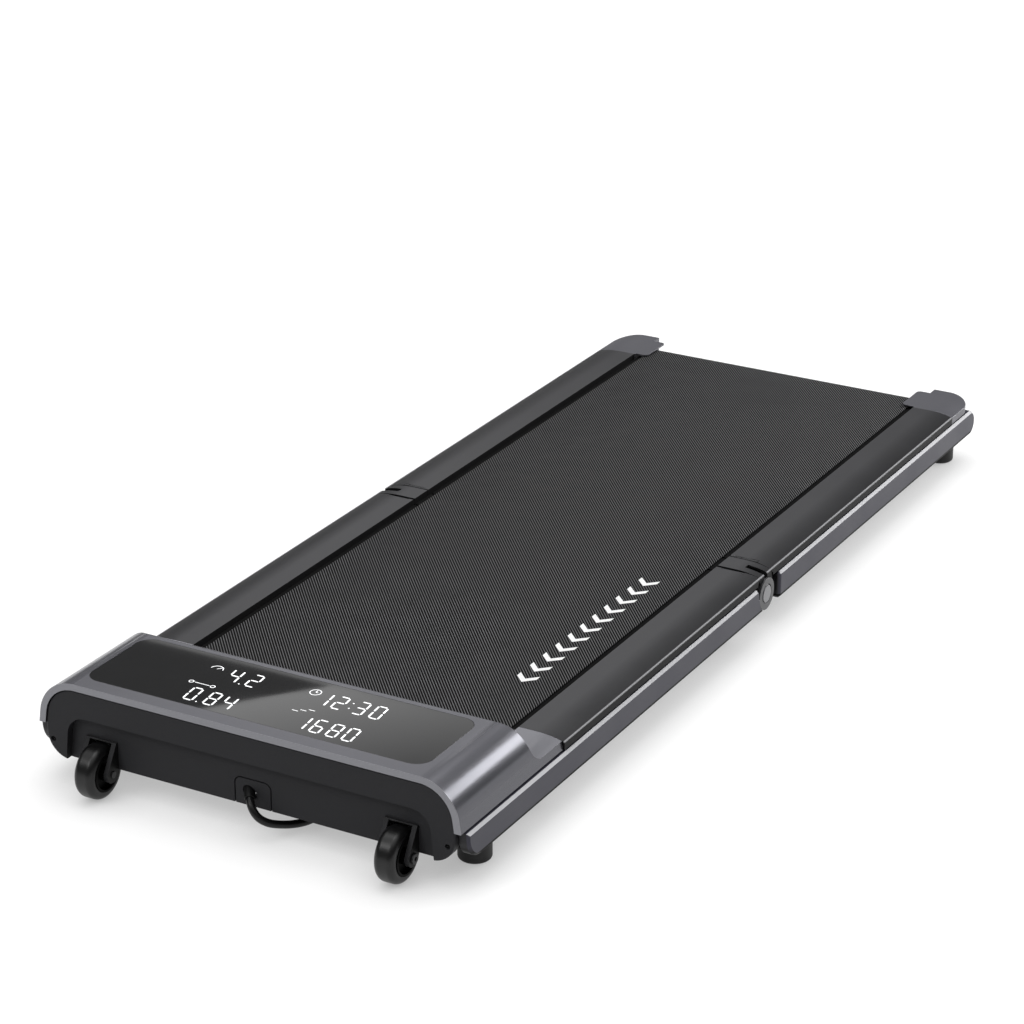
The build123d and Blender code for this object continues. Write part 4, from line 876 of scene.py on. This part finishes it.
belt_marks = Marks(BELT_TOP + MARK_LIFT)
ARROW_COUNT = 11
ARROW_SPAN = (-361.0, -30.0)
ARROW_X = 159.5
ARROW_HALF = 12.5
ARROW_STROKE = 9.0
arrow_pitch = (ARROW_SPAN[1] - ARROW_SPAN[0]) / ARROW_COUNT
for k in range(ARROW_COUNT):
    y = ARROW_SPAN[0] + arrow_pitch * k
    for tip in (ARROW_X - ARROW_HALF, ARROW_X + ARROW_HALF):
        belt_marks.patch([
            (ARROW_X, y), (ARROW_X, y + ARROW_STROKE),
            (tip, y + ARROW_HALF + ARROW_STROKE), (tip, y + ARROW_HALF),
        ])
belt_marks.done("belt_arrows", print_finish(), "front")

# Studio
scene = bpy.context.scene
scene.view_settings.view_transform = "Standard"

FLOOR_HALF = 200.0
FLOOR_BOUNCE = 0.42
FLOOR_SHOWN = 0.36
FLOOR_GLOW = 0.65
GLOW_FADE = (1.2, 3.0)
# Reach and depth of the painted contact shadow on the floor
CONTACT_REACH = 0.06
CONTACT_SHADE = 0.5


def floor_finish():
    """White to the eye and in reflections, with the object's shadow and a painted contact shadow near it.
    It throws back less light.
    """
    made = Finish("studio_floor")
    drift = made.noise(made.place(), 0.6, 2.0)
    rays = made.node("ShaderNodeLightPath")
    seen = made.calc("MAXIMUM", rays.outputs["Is Camera Ray"], rays.outputs["Is Glossy Ray"])
    seen = made.calc("MAXIMUM", seen, rays.outputs["Is Transmission Ray"])
    shown = made.mix(
        made.span(drift, 0.0, 1.0), (FLOOR_SHOWN,) * 3, (FLOOR_SHOWN + 0.01,) * 3
    )
    made.feed("Base Color", made.mix(seen, (FLOOR_BOUNCE,) * 3, shown))
    where = made.node("ShaderNodeTexCoord")
    reach = made.node("ShaderNodeVectorMath", {0: where.outputs["Object"]}, operation="LENGTH")
    glow = made.span(reach.outputs["Value"], FLOOR_GLOW, 1.0, *GLOW_FADE)
    # Painted shadow: the glow dims where the object is close by
    near = made.node("ShaderNodeAmbientOcclusion", values={"Distance": CONTACT_REACH}, samples=8)
    painted_contact_shadow = made.span(near.outputs["AO"], CONTACT_SHADE, 1.0, 0.0, 1.0)
    made.feed("Emission Strength", made.calc("MULTIPLY", made.calc("MULTIPLY", glow, painted_contact_shadow), seen))
    made.set(roughness=0.9, specular_ior_level=0.0, emission_color=(1.0, 1.0, 1.0, 1.0))
    return made.material


floor_sheet = bmesh.new()
bmesh.ops.create_grid(floor_sheet, x_segments=1, y_segments=1, size=FLOOR_HALF)
floor = new_piece("floor", finished_mesh("floor", floor_sheet), floor_finish())

# The sky is dim up to the first height and bright from the second on
SKY_HEIGHTS = (0.48, 0.97)
SKY_LEVELS = (0.11, 1.25)
world = bpy.data.worlds.new("studio")
world.use_nodes = True
sky = world.node_tree
sky_place = sky.nodes.new("ShaderNodeTexCoord")
sky_split = sky.nodes.new("ShaderNodeSeparateXYZ")
sky_rise = sky.nodes.new("ShaderNodeMapRange")
sky_rise.interpolation_type = "SMOOTHSTEP"
sky.links.new(sky_place.outputs["Generated"], sky_split.inputs["Vector"])
sky.links.new(sky_split.outputs["Z"], sky_rise.inputs["Value"])
for socket, value in zip(("From Min", "From Max", "To Min", "To Max"), SKY_HEIGHTS + SKY_LEVELS):
    sky_rise.inputs[socket].default_value = value
sky.links.new(sky_rise.outputs["Result"], sky.nodes["Background"].inputs["Strength"])
sky.nodes["Background"].inputs["Color"].default_value = (1.0, 1.0, 1.0, 1.0)
scene.world = world


def softbox(name, place, aim, width, height, power):
    """A rectangular lamp at a place, facing a point."""
    data = bpy.data.lights.new(name, "AREA")
    data.shape = "RECTANGLE"
    data.size, data.size_y = width, height
    data.energy = power
    lamp = bpy.data.objects.new(name, data)
    scene.collection.objects.link(lamp)
    lamp.location = place
    lamp.rotation_mode = "QUATERNION"
    lamp.rotation_quaternion = (Vector(aim) - Vector(place)).to_track_quat("-Z", "Y")
    return lamp


def face_matrix(place, along, aim):
    """A lamp at a place, its length along one line and its face towards a point."""
    behind = (Vector(place) - Vector(aim)).normalized()
    long_way = Vector(along).normalized()
    long_way = (long_way - behind * long_way.dot(behind)).normalized()
    turn = Matrix((long_way, behind.cross(long_way), behind)).transposed().to_4x4()
    return Matrix.Translation(place) @ turn


STRIP_PLACE = (1.55, 2.7, 1.25)
STRIP_ALONG = (0.74, 0.0, 0.67)
STRIP_AIM = (0.25, 0.0, 0.09)
softbox("overhead", (-0.3, 0.4, 3.2), (0.0, 0.0, 0.0), 3.0, 3.0, 62.0)
softbox("front_fill", (-1.3, -3.0, 2.6), (0.0, -0.6, 0.05), 1.8, 0.9, 26.0)
strip = softbox("shoulder_strip", STRIP_PLACE, STRIP_AIM, 1.7, 1.1, 62.0)
strip.matrix_world = face_matrix(STRIP_PLACE, STRIP_ALONG, STRIP_AIM)


def card_finish(name, axis, stops):
    """A lit card whose light changes along one of its axes, from one place and level to another."""
    made = Finish(name)
    (start, low), (end, high) = stops
    fade = made.span(made.spot(axis), 0.0, 1.0, start, end)
    made.feed("Emission Color", made.mix(fade, (low,) * 3, (high,) * 3))
    made.set(base_color=(0.0, 0.0, 0.0, 1.0), emission_strength=1.0, specular_ior_level=0.0)
    return made.material


def lit_card(name, corners, material):
    """A card for the gloss to mirror, which the camera doesn't see."""
    build = bmesh.new()
    build.faces.new([build.verts.new(corner) for corner in corners])
    card = new_piece(name, finished_mesh(name, build), material)
    card.visible_camera = False
    card.visible_shadow = False
    return card


CARD_EDGE = (Vector((-2.244, 2.4, 2.0)), Vector((-1.837, 2.4, 1.832)))
edge_run = (CARD_EDGE[0] - CARD_EDGE[1]).normalized()
edge_out = Vector((edge_run.z, 0.0, -edge_run.x))
glass_card = lit_card(
    "glass_card",
    ((0.0, -1.0, 0.0), (2.0, -1.0, 0.0), (2.0, 1.0, 0.0), (0.0, 1.0, 0.0)),
    card_finish("glass_card", "X", ((0.0, 1.65), (0.30, 0.16))),
)
turn = Matrix((edge_out, edge_run, edge_out.cross(edge_run))).transposed().to_4x4()
glass_card.matrix_world = Matrix.Translation((CARD_EDGE[0] + CARD_EDGE[1]) / 2) @ turn
lit_card(
    "rail_card",
    ((-1.55, 2.4, 0.7), (-0.2, 2.4, 0.7), (-0.95, 2.4, 1.85), (-2.6, 2.4, 1.85)),
    card_finish("rail_card", "Z", ((0.8, 0.12), (1.7, 1.0))),
)
